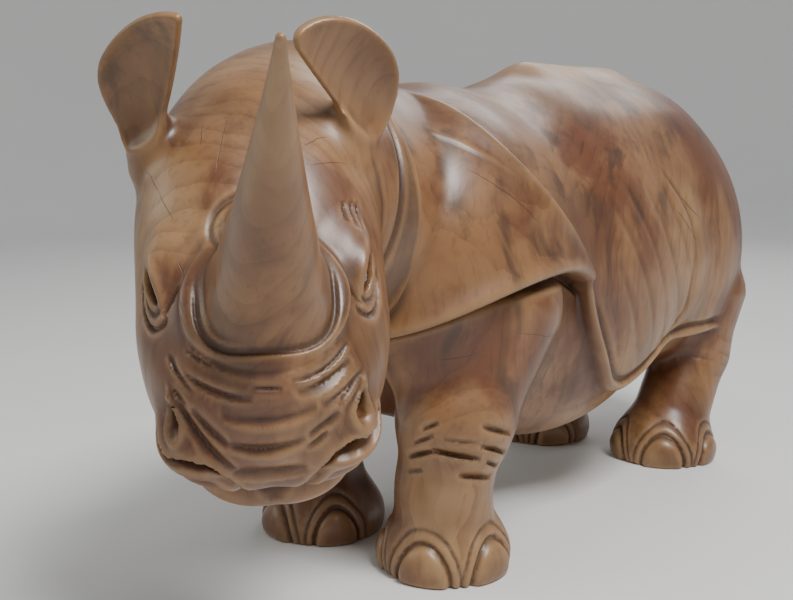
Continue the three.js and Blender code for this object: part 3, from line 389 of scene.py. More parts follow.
def knee_wrinkles(p, leg):
    cx, cy = leg["joints"][1][:2]
    turn = np.arctan2((p[0] - cx) * leg["side"], cy - p[1]) / DEGREE
    depth = np.zeros(len(turn))
    for middle, span, height, slope, width, deep in KNEE_WRINKLES:
        off = turn - middle
        past = height + slope * off - p[2]
        depth = np.maximum(depth, gouge(off / span, past, width, deep, KNEE_LIP))
    hollow = bell((turn - SHIN["turn"]) / SHIN["span"]) * bell((p[2] - SHIN["height"]) / SHIN["reach"])
    return depth + SHIN["depth"] * hollow


def toes(p, leg):
    """Arcs round each nail, and the nail standing out a little."""
    z = p[2]
    turn = np.arctan2((p[0] - leg["foot"][0]) * leg["side"], leg["foot"][1] - p[1]) / DEGREE
    depth = np.zeros(len(z))
    for middle, half, height in leg["nails"]:
        across = (turn - middle) * DEGREE * leg["sole"] / half
        ring = np.sqrt(across * across + (z / height) ** 2)
        for at, width, deep in FOOT["rings"]:
            depth += deep * bell((ring - at) / width)
        depth -= FOOT["nail"] * ease(*FOOT["nail_edge"], ring)
    return depth * ease(*FOOT["ring_ends"], z)


def leg_shape(p, leg):
    top, knee, ankle = leg["joints"]
    wide, middle, narrow = leg["radii"]
    d = limb(p, top, knee, (wide, middle))
    d = join(d, limb(p, knee, ankle, (middle, narrow)), LEG["knee_melt"])
    low, from_low, from_high, high = LEG["wrinkled"]
    d = d + knee_wrinkles(p, leg) * leg["wrinkles"] * ease(low, from_low, p[2]) * ease(high, from_high, p[2])
    heel = limb(p, ankle, (leg["foot"][0], leg["foot"][1], LEG["heel"]), (narrow, FOOT["ankle"]))
    hoof = egg(p, leg["foot"], (leg["sole"], leg["sole"], FOOT["height"]))
    return join(d, join(heel, hoof, FOOT["melt"]) + toes(p, leg), LEG["melt"])


def legs(p):
    d = np.full(p.shape[1], FAR)
    for leg in LEGS:
        off = np.abs(p[1] - leg["joints"][1][1])
        near = (p[0] * leg["side"] > LEG["inner"]) & (off < LEG["reach"])
        d = inside_where(near, d, p, lambda q, e: np.minimum(e, leg_shape(q, leg)))
    return d


def flank_skin(wood, y, z, step):
    """The flank's skin: a ridge along its hem, and a groove inside the ridge."""
    edge = flank_edge(y, z)
    ridge = FLANK["ridge"] * bell((edge - FLANK["ridge_at"]) / FLANK["ridge_width"])
    groove = FLANK["groove"] * bell((edge + FLANK["groove_at"]) / FLANK["groove_width"])
    groove = groove * ease(*FLANK["groove_ends"], z)
    return both(wood + (groove - ridge) * step, edge, FLANK["edge"])


def shoulder_skin(wood, y, z):
    """The shoulder's skin: its rim is thick over the leg and thins towards the back."""
    edge = shoulder_edge(y, z)
    thick = 1 - SHOULDER["thinning"] * ease(*SHOULDER["thin"], z)
    rim = SHOULDER["rim"] * bell((edge - SHOULDER["rim_at"]) / SHOULDER["rim_width"])
    skin = both(wood - (SHOULDER["lift"] + rim) * thick, edge, SHOULDER["edge"])
    return both(skin, SHOULDER["front"] - y, SHOULDER["front_melt"])


def under_shoulder(y, z):
    """Depth of the gap between the rim of the shoulder's skin and the leg below it."""
    along = ease(*GAP["front"], y) * ease(*GAP["back"], y) * ease(*GAP["top"], z)
    return GAP["depth"] * bell((shoulder_edge(y, z) - GAP["at"]) / GAP["width"]) * along


def flank_relief(y, z):
    """Soft furrows over the ribs, and the fold and hollow in front of the hip."""
    top, bend = HIP["above"]
    foot, curl = HIP["below"]
    fold = y - HIP["fold"] + bend * np.maximum(z - top, 0) ** 2
    fold = fold + curl * np.maximum(foot - z, 0) ** 2
    level = ease(HIP["ends"][0], HIP["ends"][1], z) * ease(HIP["ends"][3], HIP["ends"][2], z)
    depth = HIP["depth"] * bell(fold / HIP["width"]) * level
    depth += HIP["hollow"] * bell((fold - HIP["hollow_at"]) / HIP["hollow_width"]) * level
    rib = 0.5 + 0.5 * np.cos((y + RIBS["lean"] * z) * 2 * math.pi / RIBS["gap"])
    reach = ease(*RIBS["ends"][:2], y) * ease(*RIBS["ends"][3:1:-1], y)
    reach = reach * ease(*RIBS["heights"][:2], z) * ease(*RIBS["heights"][3:1:-1], z)
    return depth + RIBS["depth"] * rib ** 3 * reach


def neck_fold(wood, y, z):
    """The fold of the neck that lies over the front of the shoulder's skin."""
    edge = both(y - COLLAR["rear"], COLLAR["low"] - z, COLLAR["corner"])
    off = y - COLLAR["groove_at"] - COLLAR["groove_lean"] * (z - COLLAR["groove_ends"][1])
    groove = COLLAR["groove"] * bell(off / COLLAR["groove_width"]) * ease(*COLLAR["groove_ends"], z)
    return both(wood - COLLAR["lift"] + groove, edge, COLLAR["edge"])


def body(p):
    """The field of the animal without its head."""
    x, y, z = p
    half = np.array([mirrored(x), y, z])
    wood = join(melted(TRUNK, half), bone(half, SPINE), SPINE["melt"])
    step = ease(*CORE["ends"], y)
    wood = wood + flank_relief(y, z)
    breast = ease(*CORE["breast_front"], y) * ease(*CORE["breast_top"], z)
    breast = breast * ease(*CORE["breast_side"], half[0])
    d = wood + CORE["sink"] * step + CORE["breast"] * breast
    fore = y < 0
    nape = inside_where(fore, np.full(len(y), FAR), p, lambda q, _: join(
        bone(q, NECK), egg(q, CREST["at"], CREST["radii"]), CREST["melt"]))
    d = np.where(fore, join(d, nape + CORE["neck_sink"], CORE["neck_melt"]), d)
    d = inside_where(z < CORE["leg_top"], d, p, lambda q, e: join(e, legs(q), CORE["leg_melt"]))
    d = join(d + under_shoulder(y, z), flank_skin(wood, y, z, step), FLANK["melt"])
    d = join(d, shoulder_skin(wood, y, z), SHOULDER["melt"])
    d = np.where(y < NECK_REAR, join(d, neck_fold(nape, y, z), COLLAR["melt"]), d)

    def with_tail(q, e):
        for part in TAIL:
            e = join(e, bone(q, part), part["melt"])
        return e

    return inside_where(y > TAIL_FRONT, d, half, with_tail)


def head_axes():
    turn, lower, tilt = [HEAD[name] * DEGREE for name in ("turn", "lower", "tilt")]
    left = np.array([math.cos(turn), math.sin(turn), 0])
    ahead = np.array([math.sin(turn), -math.cos(turn), 0])
    up = np.array([0, 0, 1])
    nose = ahead * math.cos(lower) - up * math.sin(lower)
    crown = ahead * math.sin(lower) + up * math.cos(lower)
    a = left * math.cos(tilt) - nose * math.sin(tilt)
    b = nose * math.cos(tilt) + left * math.sin(tilt)
    return np.array([a, b, crown])


HEAD_AXES = head_axes()
NOSTRIL_FRAME = feature_frame(NOSTRIL, "out")
EYE_FRAME = feature_frame(EYE, "out")
EAR_FRAMES = [feature_frame(ear, "along") for ear in EARS]


def to_head(p):
    return HEAD_AXES @ (p - np.array(HEAD["at"])[:, None])


def nose_wrinkles(a, b, c):
    turn = np.arctan2(b - NOSE["axis"][0], c - NOSE["axis"][1]) / DEGREE
    depth = np.zeros(len(a))
    for start, end, bow, width, lip, deep in NOSE_WRINKLES:
        across = (end[0] - start[0]) / 2
        down = (end[1] - start[1]) / 2 * NOSE["degree"]
        half = math.hypot(across, down)
        x = a - (start[0] + end[0]) / 2
        y = (turn - (start[1] + end[1]) / 2) * NOSE["degree"]
        u = (x * across + y * down) / half ** 2
        past = (y * across - x * down) / half - bow * (1 - u * u)
        depth = np.maximum(depth, gouge(u, past, width, deep, lip))
    return depth * ease(*NOSE["start"], b)


def mouth(d, a, b, c):
    """A slit that rises from the middle to the corners, over an undercut lower lip."""
    s = mirrored(a)
    off = c - MOUTH["middle"] - MOUTH["rise"] * ease(*MOUTH["from"], s)
    off = off - MOUTH["corner"] * ease(*MOUTH["corner_from"], s)
    gap = MOUTH["narrow"] + MOUTH["wide"][0] * ease(*MOUTH["wide_from"], a)
    gap = gap + MOUTH["wide"][1] * ease(*MOUTH["wide_from"], -a)
    slit = np.maximum(np.maximum(np.abs(off) - gap, MOUTH["front"] - b), -(d + MOUTH["depth"]))
    side = ease(*MOUTH["lip"], s)
    under = ease(*MOUTH["under_top"], off) * ease(*MOUTH["under_foot"], off) * (1 - side)
    under = under + bell((off - MOUTH["lip_at"]) / MOUTH["lip_width"]) * side
    return carve(d, slit, MOUTH["melt"]) + MOUTH["under"] * under * ease(*MOUTH["under_start"], b)


def feature_place(size, axes, s, b, c):
    """Where a point is by a feature of the head, along the feature's own three axes."""
    off = np.array([s - size["at"][0], b - size["at"][1], c - size["at"][2]])
    return [axis @ off for axis in axes]


def nostril(d, a, b, c):
    """A narrow upright opening, pointed at the top, with a raised rim; on the right it is shallow."""
    size = NOSTRIL
    n, t, w = feature_place(size, NOSTRIL_FRAME, mirrored(a), b, c)
    wide, tall, _ = size["radii"]
    left = a > 0
    taper = (1 + size["point"] * np.clip(t / tall, -1, size["widest"])) * np.where(left, 1, size["right"])
    ring = np.sqrt((w / wide / taper) ** 2 + (t / tall) ** 2)
    rim = size["rim"] * bell((ring - size["rim_at"]) / size["rim_width"]) * bell(n / size["rim_reach"])
    hole = egg((w / taper, t, n - np.where(left, 0, size["shallow"])), (0, 0, 0), size["radii"])
    return carve(d - rim, hole, size["melt"])


def eye_place(s, b, c):
    """Where a point is by an eye: out of it, along it, across it upwards, and how far out of its opening."""
    n, t, w = feature_place(EYE, EYE_FRAME, s, b, c)
    w = w * (-1 if EYE_FRAME[2][2] < 0 else 1)
    return n, t, w, np.sqrt((t / EYE["half"][0]) ** 2 + (w / EYE["half"][1]) ** 2)


def eye(d, a, b, c):
    """A narrow opening over a ball, hooded by the brow, with rolls of skin round it."""
    n, t, w, ring = eye_place(np.abs(a), b, c)
    depth = EYE["opening"] * ease(*EYE["edge"], ring)
    for across, width, rise, bend, middle, half in LIDS:
        depth -= rise * bell((w - across - bend * t * t) / width) * bell((t - middle) / half)
    reach = np.sqrt(t * t + BAG["squash"] * w * w)
    below = ease(*BAG["start"], w - BAG["lean"] * t)
    for out, middle, half, width, deep, lip in BAGS:
        depth += below * gouge((t - middle) / half, out - reach, width, deep, lip)
    middle, half, crossing, slope, width, deep, lip = CREASE
    depth += gouge((t - middle) / half, crossing - slope * (t - middle) - w, width, deep, lip)
    for along, across, half in BROW_SLITS:
        depth += gouge((t - along) / half, w - across, *SLIT) * (a > 0)
    ball = np.sqrt(t * t + w * w + (n + EYE["ball"] + EYE["sunk"]) ** 2) - EYE["ball"]
    cut = join(d + depth * bell(n / EYE["depth_reach"]), ball, EYE["melt"])
    return np.where(t * t + w * w + n * n > EYE["reach"] ** 2, d, cut)


def seat(d, a, b, c, size):
    """A flat swelling with a groove round the horn that stands on it."""
    middle = size["at"]
    ring = superellipse(a - middle[0], (b - middle[1]) / size["squash"], size["power"]) - size["ring"]
    swollen = join(d, egg((a, b, c), size["at"], size["radii"]), size["melt"])
    groove = size["groove"] * bell(ring / size["width"]) * ease(*size["groove_from"], b)
    return swollen + groove * ease(*SEAT_EDGE, c - size["at"][2])


def horn(a, b, c):
    low, high = HORN["from"], HORN["to"]
    t = np.clip((c - low[2]) / (high[2] - low[2]), 0, 1)
    across = a - low[0] - (high[0] - low[0]) * t
    radius = HORN["tip"] + HORN["width"] * (1 - t) ** HORN["curve"]
    radius = radius + HORN["flare"] * bell((c - HORN["flare_at"]) / HORN["flare_width"])
    out = superellipse(across, b - low[1], 2 + HORN["square"] * (1 - t) ** HORN["square_curve"])
    past = c - np.clip(c, low[2], high[2])
    return np.sqrt(out * out + past * past) - radius


def ear(d, a, b, c, size, axes):
    """A thin leaf with a straight inner edge, hollowed to a shallow cup."""
    s = a * size["side"]
    up, out, w = feature_place(size, axes, s, b, c)
    across = w * (-1 if axes[2][0] < 0 else 1)
    middle, level = size["outline"]
    wide, above, below = size["radii"]
    height = (up - level) * np.where(up > level, 1, above / below)
    outline = egg((across - middle, np.zeros(len(a)), height), (0, 0, 0), (wide, 1, above))
    outline = both(outline, middle - across + size["lean"] * (up - level), size["corner"])
    shell, cup = [egg((across, out, up), size[name]["at"], size[name]["radii"]) for name in ("back", "cup")]
    leaf = both(both(shell, out - size["face"], size["face_melt"]), outline, size["edge"])
    whole = join(join(d, bone((s, b, c), size["root"]), size["root"]["melt"]), leaf, size["melt"])
    return carve(whole, both(cup, outline + size["cup_edge"], size["edge"]), size["cup"]["melt"])


def head(p):
    a, b, c = to_head(p)
    d = melted(SKULL, (mirrored(a), b, c))
    near = d < FACE["reach"]
    q = np.array([a, b, c])

    def face(q, e):
        a, b, c = q
        e = e + nose_wrinkles(a, b, c)
        e = mouth(e, a, b, c)
        return nostril(e, a, b, c)

    def features(q, e):
        a, b, c = q
        e = eye(e, a, b, c)
        e = seat(e, a, b, c, STUB_SEAT)
        return seat(e, a, b, c, HORN_SEAT)

    d = inside_where(near & (b > FACE["front"]) & (c > FACE["low"]), d, q, face)
    d = inside_where(near, d, q, features)
    d = join(d, bone(q, STUB), STUB["melt"])
    d = join(d, horn(a, b, c), HORN["melt"])
    for size, axes in zip(EARS, EAR_FRAMES):
        side = (b < FACE["ears"]) & (a * size["side"] > 0)
        d = inside_where(side, d, q, lambda r, e: ear(e, *r, size, axes))
    return d


def carving(p):
    """The field of the whole carving at an array of points, one column for each."""
    d = inside_where(p[1] > BODY_FRONT, np.full(p.shape[1], FAR), p, lambda q, _: body(q))
    d = inside_where(p[1] < HEAD_REAR, d, p, lambda q, e: join(np.minimum(e, FAR), head(q), HEAD["melt"]))
    return both(d, -p[2], SOLE_EDGE)


def in_parts(field, p, size=60000):
    """A field at many points, worked out part by part on all the processor's cores."""
    parts = [p[:, i:i + size] for i in range(0, p.shape[1], size)]
    with ThreadPoolExecutor() as pool:
        return np.concatenate(list(pool.map(field, parts)))


def slopes(field, p, step):
    """The field, its gradient, and the sum of its second slopes, which is positive where it bulges."""
    centre = in_parts(field, p)
    slope = np.empty_like(p)
    bulge = -6 * centre
    for i in range(3):
        off = np.zeros((3, 1))
        off[i] = step
        ahead = in_parts(field, p + off)
        behind = in_parts(field, p - off)
        slope[i] = (ahead - behind) / (2 * step)
        bulge += ahead + behind
    return centre, slope, bulge / step ** 2


def sample_field(cell, block=4):
    """The field on a regular grid, worked out in full only in the blocks that the surface comes near."""
    low = np.array(REACH["low"], float)
    blocks = np.ceil((np.array(REACH["high"]) - low) / (cell * block)).astype(int)
    values = np.empty(blocks * block, np.float32)
    tiles = values.reshape(blocks[0], block, blocks[1], block, blocks[2], block)
    tiles = tiles.transpose(0, 2, 4, 1, 3, 5)
    where = np.indices(blocks).reshape(3, -1)
    coarse = in_parts(carving, low[:, None] + (where * block + (block - 1) / 2) * cell)
    tiles[...] = np.where(coarse < 0, -FAR, FAR).reshape(blocks)[..., None, None, None]
    close = where[:, np.abs(coarse) < cell * block * 1.4 + 5]
    inner = np.indices((block, block, block)).reshape(3, -1)
    points = low[:, None, None] + (close[:, :, None] * block + inner[:, None, :]) * cell
    tiles[tuple(close)] = in_parts(carving, points.reshape(3, -1)).reshape(-1, block, block, block)
    return low, values


def trace_surface(cell):
    """Corners and faces of the surface: a corner in each grid cell that it crosses, and a four-sided face
    for each grid edge that it crosses, looking from the wood outwards."""
    low, values = sample_field(cell)
    strides = np.array([values.shape[1] * values.shape[2], values.shape[2], 1])
    owners, places = [], []
    for axis in range(3):
        ahead, u, v = np.roll(np.eye(3, dtype=int), -axis, axis=0)
        first = np.argwhere(np.diff(values < 0, axis=axis))
        start = values[tuple(first.T)]
        end = values[tuple((first + ahead).T)]
        cells = (first, first - u, first - u - v, first - v)
        ring = np.stack([at @ strides for at in cells], axis=1)
        ring[start >= 0] = ring[start >= 0][:, ::-1]
        owners.append(ring)
        places.append(first + ahead * (start / (start - end))[:, None])
    owners = np.concatenate(owners)
    places = np.repeat(np.concatenate(places), 4, axis=0)
    _, corner = np.unique(owners.ravel(), return_inverse=True)
    total = np.array([np.bincount(corner, weights=places[:, i]) for i in range(3)])
    return low[:, None] + total / np.bincount(corner) * cell, corner.reshape(-1, 4)


def settle(points, rounds=2):
    """Moves points on to the surface of the carving."""
    for _ in range(rounds):
        value, slope, _ = slopes(carving, points, 0.3)
        steep = np.maximum((slope ** 2).sum(0), 0.25)
        points = points - slope * np.clip(value / steep, -2.5, 2.5)
    return points


def new_mesh(name, points, faces):
    """A mesh from arrays of points, one column for each, and of faces that all have as many sides."""
    mesh = bpy.data.meshes.new(name)
    mesh.from_pydata([], [], [])
    mesh.vertices.add(points.shape[1])
    mesh.vertices.foreach_set("co", points.T.ravel())
    sides = faces.shape[1]
    mesh.loops.add(faces.size)
    mesh.loops.foreach_set("vertex_index", faces.ravel())
    mesh.polygons.add(len(faces))
    mesh.polygons.foreach_set("loop_start", np.arange(0, faces.size, sides))
    mesh.update(calc_edges=True)
    return mesh


def placed(points):
    """Points of the carving in metres from the object's origin."""
    return (points - MIDDLE[:, None]) * MM


def corners_of(mesh):
    points = np.empty(len(mesh.vertices) * 3)
    mesh.vertices.foreach_get("co", points)
    return points.reshape(-1, 3).T


def from_head(points):
    """How far points of the carving lie from the middle of the head."""
    return np.sqrt(((points - np.array(HEAD["at"])[:, None]) ** 2).sum(0))


def thinned(piece, triangles, on_head):
    """Thins a piece's mesh, on the head or on the rest of it, until it has that many triangles in all."""
    mesh = piece.data
    weights = ease_linear(*HEAD_REACH, from_head(corners_of(mesh) / MM + MIDDLE[:, None]))
    levels = np.round(1 - weights if on_head else weights, 1)
    group = piece.vertex_groups.new(name="thinned")
    for level in np.unique(levels):
        group.add(np.flatnonzero(levels == level).tolist(), float(level), "REPLACE")
    mesh.calc_loop_triangles()
    modifier = piece.modifiers.new("thin", "DECIMATE")
    modifier.ratio = min(1, triangles / len(mesh.loop_triangles))
    modifier.vertex_group = group.name
    made = bpy.data.meshes.new_from_object(piece.evaluated_get(bpy.context.evaluated_depsgraph_get()))
    piece.modifiers.clear()
    piece.vertex_groups.clear()
    piece.data = made
    bpy.data.meshes.remove(mesh)


def ease_linear(start, end, v):
    return np.clip((v - start) / (end - start), 0, 1)


def eye_mask(points):
    a, b, c = to_head(points)
    n, _, _, ring = eye_place(np.abs(a), b, c)
    return np.where(np.abs(n) < EYE["dark_reach"], ease(*EYE["dark_edge"], ring), 0)


def add_masks(mesh, points, bulge):
    """Masks at each corner: how hollow and how ridged the wood is, which paint shade into the hollows and a
    highlight on the ridges, and where the eyes are.
    """
    masks = {
        "hollow": np.clip(-bulge * MASK_GAIN, 0, 1),
        "ridge": np.clip(bulge * MASK_GAIN, 0, 1),
        "eye": eye_mask(points),
    }
    for name, values in masks.items():
        data = mesh.attributes.new(name, "FLOAT", "POINT").data
        data.foreach_set("value", values.astype(np.float32))


def make_carving(cell, triangles):
    """The carving as one closed mesh that is smooth to the eye, finer on the head than elsewhere."""
    points, faces = trace_surface(cell)
    points = settle(points)
    piece = bpy.data.objects.new(PIECE, new_mesh(PIECE, placed(points), faces))
    bpy.context.scene.collection.objects.link(piece)
    on_head = 2 * np.count_nonzero(from_head(points) < sum(HEAD_REACH) / 2)
    thinned(piece, on_head + BODY_SHARE * triangles, False)
    thinned(piece, triangles, True)
    mesh = piece.data
    points = settle(corners_of(mesh) / MM + MIDDLE[:, None], 1)
    mesh.vertices.foreach_set("co", placed(points).T.ravel())
    _, slope, _ = slopes(carving, points, 0.6)
    _, _, bulge = slopes(carving, points, 4)
    normals = slope / np.sqrt((slope ** 2).sum(0))
    mesh.polygons.foreach_set("use_smooth", np.ones(len(mesh.polygons), bool))
    mesh.update()
    mesh.normals_split_custom_set_from_vertices(normals.T.tolist())
    add_masks(mesh, points, bulge)
    return piece


def node(tree, kind, sockets=None, **settings):
    """A shader node with its settings, and its inputs set to values or linked to other nodes' outputs."""
    made = tree.nodes.new(kind)
    for name, value in settings.items():
        setattr(made, name, value)
    for name, value in (sockets or {}).items():
        if isinstance(value, bpy.types.NodeSocket):
            tree.links.new(value, made.inputs[name])
        else:
            made.inputs[name].default_value = value
    return made


def arithmetic(tree, operation, first, second=0.0, third=0.0, clamped=False):
    return node(tree, "ShaderNodeMath", {0: first, 1: second, 2: third}, operation=operation,
                use_clamp=clamped).outputs[0]


def vectors(tree, operation, inputs, output=0):
    return node(tree, "ShaderNodeVectorMath", inputs, operation=operation).outputs[output]


def blended(tree, share, first, second, mode="MIX"):
    mixed = node(tree, "ShaderNodeMix", {0: share, 6: first, 7: second}, data_type="RGBA", blend_type=mode)
    return mixed.outputs[2]


def softened(tree, value, start, end, low=0.0, high=1.0):
    """A soft step between two levels."""
    return node(tree, "ShaderNodeMapRange", {0: value, 1: start, 2: end, 3: low, 4: high},
                interpolation_type="SMOOTHSTEP").outputs[0]


def noise(tree, place, scale, detail=3.0, roughness=0.5, distortion=0.0):
    return node(tree, "ShaderNodeTexNoise", {"Vector": place, "Scale": scale, "Detail": detail,
                                             "Roughness": roughness, "Distortion": distortion}).outputs[0]


def stretched(tree, place, scale, at=(0, 0, 0)):
    return node(tree, "ShaderNodeMapping", {"Vector": place, "Scale": scale, "Location": at}).outputs[0]


def warped(tree, place, scale, detail, amount):
    """A place shifted a little, differently from spot to spot."""
    shift = node(tree, "ShaderNodeTexNoise", {"Vector": place, "Scale": scale, "Detail": detail})
    shift = vectors(tree, "SUBTRACT", {0: shift.outputs["Color"], 1: (0.5, 0.5, 0.5)})
    return vectors(tree, "ADD", {0: place, 1: vectors(tree, "SCALE", {0: shift, 3: amount})})


def new_material(name):
    material = bpy.data.materials.new(name)
    material.use_nodes = True
    material.node_tree.nodes.clear()
    return material, material.node_tree


def crack_group():
    """A hairline crack between two points, on the side of the wood that it opens to."""
    tree = bpy.data.node_groups.new("hairline crack", "ShaderNodeTree")
    for name in ("Place", "Start", "Run", "Across", "Out"):
        tree.interface.new_socket(name=name, in_out="INPUT", socket_type="NodeSocketVector")
    tree.interface.new_socket(name="Width", in_out="INPUT", socket_type="NodeSocketFloat")
    tree.interface.new_socket(name="Crack", in_out="OUTPUT", socket_type="NodeSocketFloat")
    given = tree.nodes.new("NodeGroupInput").outputs
    off = vectors(tree, "SUBTRACT", {0: given["Place"], 1: given["Start"]})
    along, across, out = [
        vectors(tree, "DOT_PRODUCT", {0: off, 1: given[name]}, "Value") for name in ("Run", "Across", "Out")]
    rest = arithmetic(tree, "SUBTRACT", 1.0, along)
    taper = arithmetic(tree, "MULTIPLY", arithmetic(tree, "MULTIPLY", along, rest), 4.0, clamped=True)
    near = arithmetic(tree, "LESS_THAN", arithmetic(tree, "ABSOLUTE", out), CRACK["depth"])
    reach = arithmetic(tree, "MULTIPLY", arithmetic(tree, "SQRT", taper), given["Width"])
    reach = arithmetic(tree, "MULTIPLY_ADD", reach, near, 1e-6)
    share = arithmetic(tree, "DIVIDE", arithmetic(tree, "ABSOLUTE", across), reach)
    crack = softened(tree, share, 1.0, 0.35)
    crack = arithmetic(tree, "MULTIPLY", crack, arithmetic(tree, "GREATER_THAN", taper, 0.0))
    tree.links.new(crack, tree.nodes.new("NodeGroupOutput").inputs[0])
    return tree


def add_cracks(tree, place):
    """The darkest of all the cracks at a place on the wood."""
    bent = warped(tree, place, 38.0, 2.0, CRACK["wobble"])
    group = crack_group()
    total = None
    for start, end, width in CRACKS:
        start, end = np.array(start, float), np.array(end, float)
        _, slope, _ = slopes(carving, ((start + end) / 2)[:, None], 2)
        out = slope[:, 0] / np.linalg.norm(slope[:, 0])
        run = (end - start) * MM
        across = np.cross(run, out)
        made = node(tree, "ShaderNodeGroup", node_tree=group)
        tree.links.new(bent, made.inputs["Place"])
        for name, value in (
            ("Start", (start - MIDDLE) * MM), ("Run", run / run.dot(run)),
            ("Across", across / np.linalg.norm(across)), ("Out", out), ("Width", width * MM),
        ):
            made.inputs[name].default_value = value
        total = made.outputs[0] if total is None else arithmetic(tree, "MAXIMUM", total, made.outputs[0])
    return total


def grain_of(tree, place):
    """The patterns in the wood, each from 0 to 1, most of them drawn out along an upright pith."""
    bent = warped(tree, place, 3.6, 3.0, 0.16)
    return {
        "bent": bent,
        "fibres": noise(tree, stretched(tree, bent, (240, 240, 9)), 1.0, 3.0, 0.6),
        "streaks": noise(tree, stretched(tree, bent, (30, 30, 3)), 1.0, 4.0, 0.6),
        "bands": noise(tree, stretched(tree, bent, (9, 9, 2.6)), 1.0, 3.0, 0.55),
        "clouds": noise(tree, place, 5.0, 4.0, 0.6),
        "stains": noise(tree, stretched(tree, bent, (8, 6, 4), (1.7, 0.4, 2.1)), 1.0, 5.0, 0.6, 0.4),
    }


def late_growth(tree, grain, ring_width):
    """How dark the lines between the growth rings are."""
    upright = stretched(tree, grain["bent"], (1, 1, 0.16), (0.055, 0.0, 0.0))
    rings = node(tree, "ShaderNodeTexWave", {
        "Vector": upright, "Scale": math.pi / 10 / ring_width, "Distortion": 2.2, "Detail": 2.0,
        "Detail Scale": 2.0,
    }, wave_type="RINGS", rings_direction="Z", wave_profile="SAW").outputs["Fac"]
    late = arithmetic(tree, "POWER", rings, 3.0)
    return arithmetic(tree, "MULTIPLY", late, softened(tree, grain["streaks"], 0.3, 0.65, 0.1, 0.5))


def top_highlight_band(tree, grain, colour, look):
    """A pale band along the top of the back, partly the wood's paler tone there and partly a painted highlight
    where the light from above falls, with a painted shade line just below it.
    """
    split = node(tree, "ShaderNodeSeparateXYZ", {0: grain["bent"]}).outputs
    height = arithmetic(tree, "MULTIPLY_ADD", grain["streaks"], 0.09, split[2])
    behind = softened(tree, split[1], 0.04, 0.16)
    top_light = arithmetic(tree, "MULTIPLY", softened(tree, height, 0.43, 0.475), behind)
    edge = arithmetic(tree, "MULTIPLY", softened(tree, height, 0.41, 0.435), behind)
    edge = arithmetic(tree, "SUBTRACT", edge, top_light, clamped=True)
    # Painted highlight: the pale band lightens the top of the back; painted shade: the dark line just under it.
    colour = blended(tree, arithmetic(tree, "MULTIPLY", top_light, 0.6), colour, look.pale_and_highlight)
    return blended(tree, arithmetic(tree, "MULTIPLY", edge, 0.4), colour, look.dark)


def wood_colour(tree, grain, look):
    """The colour of the wood, with the painted highlight and shade line along the top of the back."""
    colour = blended(tree, softened(tree, grain["bands"], 0.4, 0.6), look.middle, look.light)
    colour = blended(tree, softened(tree, grain["clouds"], 0.5, 0.68, 0.0, 0.6), colour, look.pale_and_highlight)
    colour = blended(tree, softened(tree, grain["stains"], 0.46, 0.6, 0.0, 0.85), colour, look.red)
    colour = blended(tree, late_growth(tree, grain, look.ring_width), colour, look.late, "MULTIPLY")
    smoke = softened(tree, grain["streaks"], 0.5, 0.64)
    smoke = arithmetic(tree, "MULTIPLY", smoke, softened(tree, grain["clouds"], 0.6, 0.42, 0.0, 0.7))
    colour = blended(tree, smoke, colour, look.dark)
    colour = blended(tree, softened(tree, grain["fibres"], 0.5, 0.74, 0.0, 0.35), colour, look.late,
                     "MULTIPLY")
    return top_highlight_band(tree, grain, colour, look)


def wood_material(look):
    """Old polished wood with hairline cracks, with shade painted into the hollows and a highlight painted on the
    ridges.
    """
    material, tree = new_material("polished_wood")
    place = node(tree, "ShaderNodeTexCoord").outputs["Object"]
    hollow, ridge, in_eye = [
        node(tree, "ShaderNodeAttribute", attribute_name=name).outputs["Fac"]
        for name in ("hollow", "ridge", "eye")]
    grain = grain_of(tree, place)
    crack = add_cracks(tree, place)
    colour = wood_colour(tree, grain, look)
    # Painted shade darkens the hollows and a painted highlight lightens the ridges; the cracks and the eyes get
    # their own dark colours.
    for share, amount, over in (
        (hollow, look.hollow_shade, look.crack_and_shade), (ridge, look.ridge_highlight, look.pale_and_highlight),
        (crack, CRACK["dark"], look.crack_and_shade), (in_eye, 1.0, look.eye),
    ):
        colour = blended(tree, arithmetic(tree, "MULTIPLY", share, amount), colour, over)

    smoothest, roughest = look.roughness - 0.07, look.roughness + 0.1
    rough = softened(tree, noise(tree, place, 16.0, 5.0), 0.3, 0.7, smoothest, roughest)
    rough = arithmetic(tree, "MULTIPLY_ADD", hollow, 0.2, rough)
    rough = arithmetic(tree, "MULTIPLY", rough, softened(tree, in_eye, 0, 1, 1, 0.3))
    tooled = noise(tree, stretched(tree, place, (1, 1, 0.6)), 60.0, 2.0, 0.4)
    relief = arithmetic(tree, "MULTIPLY", tooled, 0.8)
    relief = arithmetic(tree, "MULTIPLY_ADD", grain["fibres"], 0.22, relief)
    relief = arithmetic(tree, "MULTIPLY_ADD", crack, -1.4, relief)
    bump = node(tree, "ShaderNodeBump", {"Strength": 0.4, "Distance": 0.0009, "Height": relief}).outputs[0]
    shader = node(tree, "ShaderNodeBsdfPrincipled", {
        "Base Color": colour, "Roughness": rough, "Normal": bump, "IOR": 1.48,
        "Coat Weight": 0.18, "Coat Roughness": 0.22,
    })
    node(tree, "ShaderNodeOutputMaterial", {"Surface": shader.outputs[0]})
    return material


def floor_material(colour):
    material, tree = new_material("studio_paper")
    grain = noise(tree, node(tree, "ShaderNodeTexCoord").outputs["Object"], 3.0)
    shade = blended(tree, softened(tree, grain, 0.3, 0.7, 0.0, 0.06), colour, (0.6, 0.6, 0.6, 1))
    shader = node(tree, "ShaderNodeBsdfPrincipled", {"Base Color": shade, "Roughness": 0.8})
    node(tree, "ShaderNodeOutputMaterial", {"Surface": shader.outputs[0]})
    return material


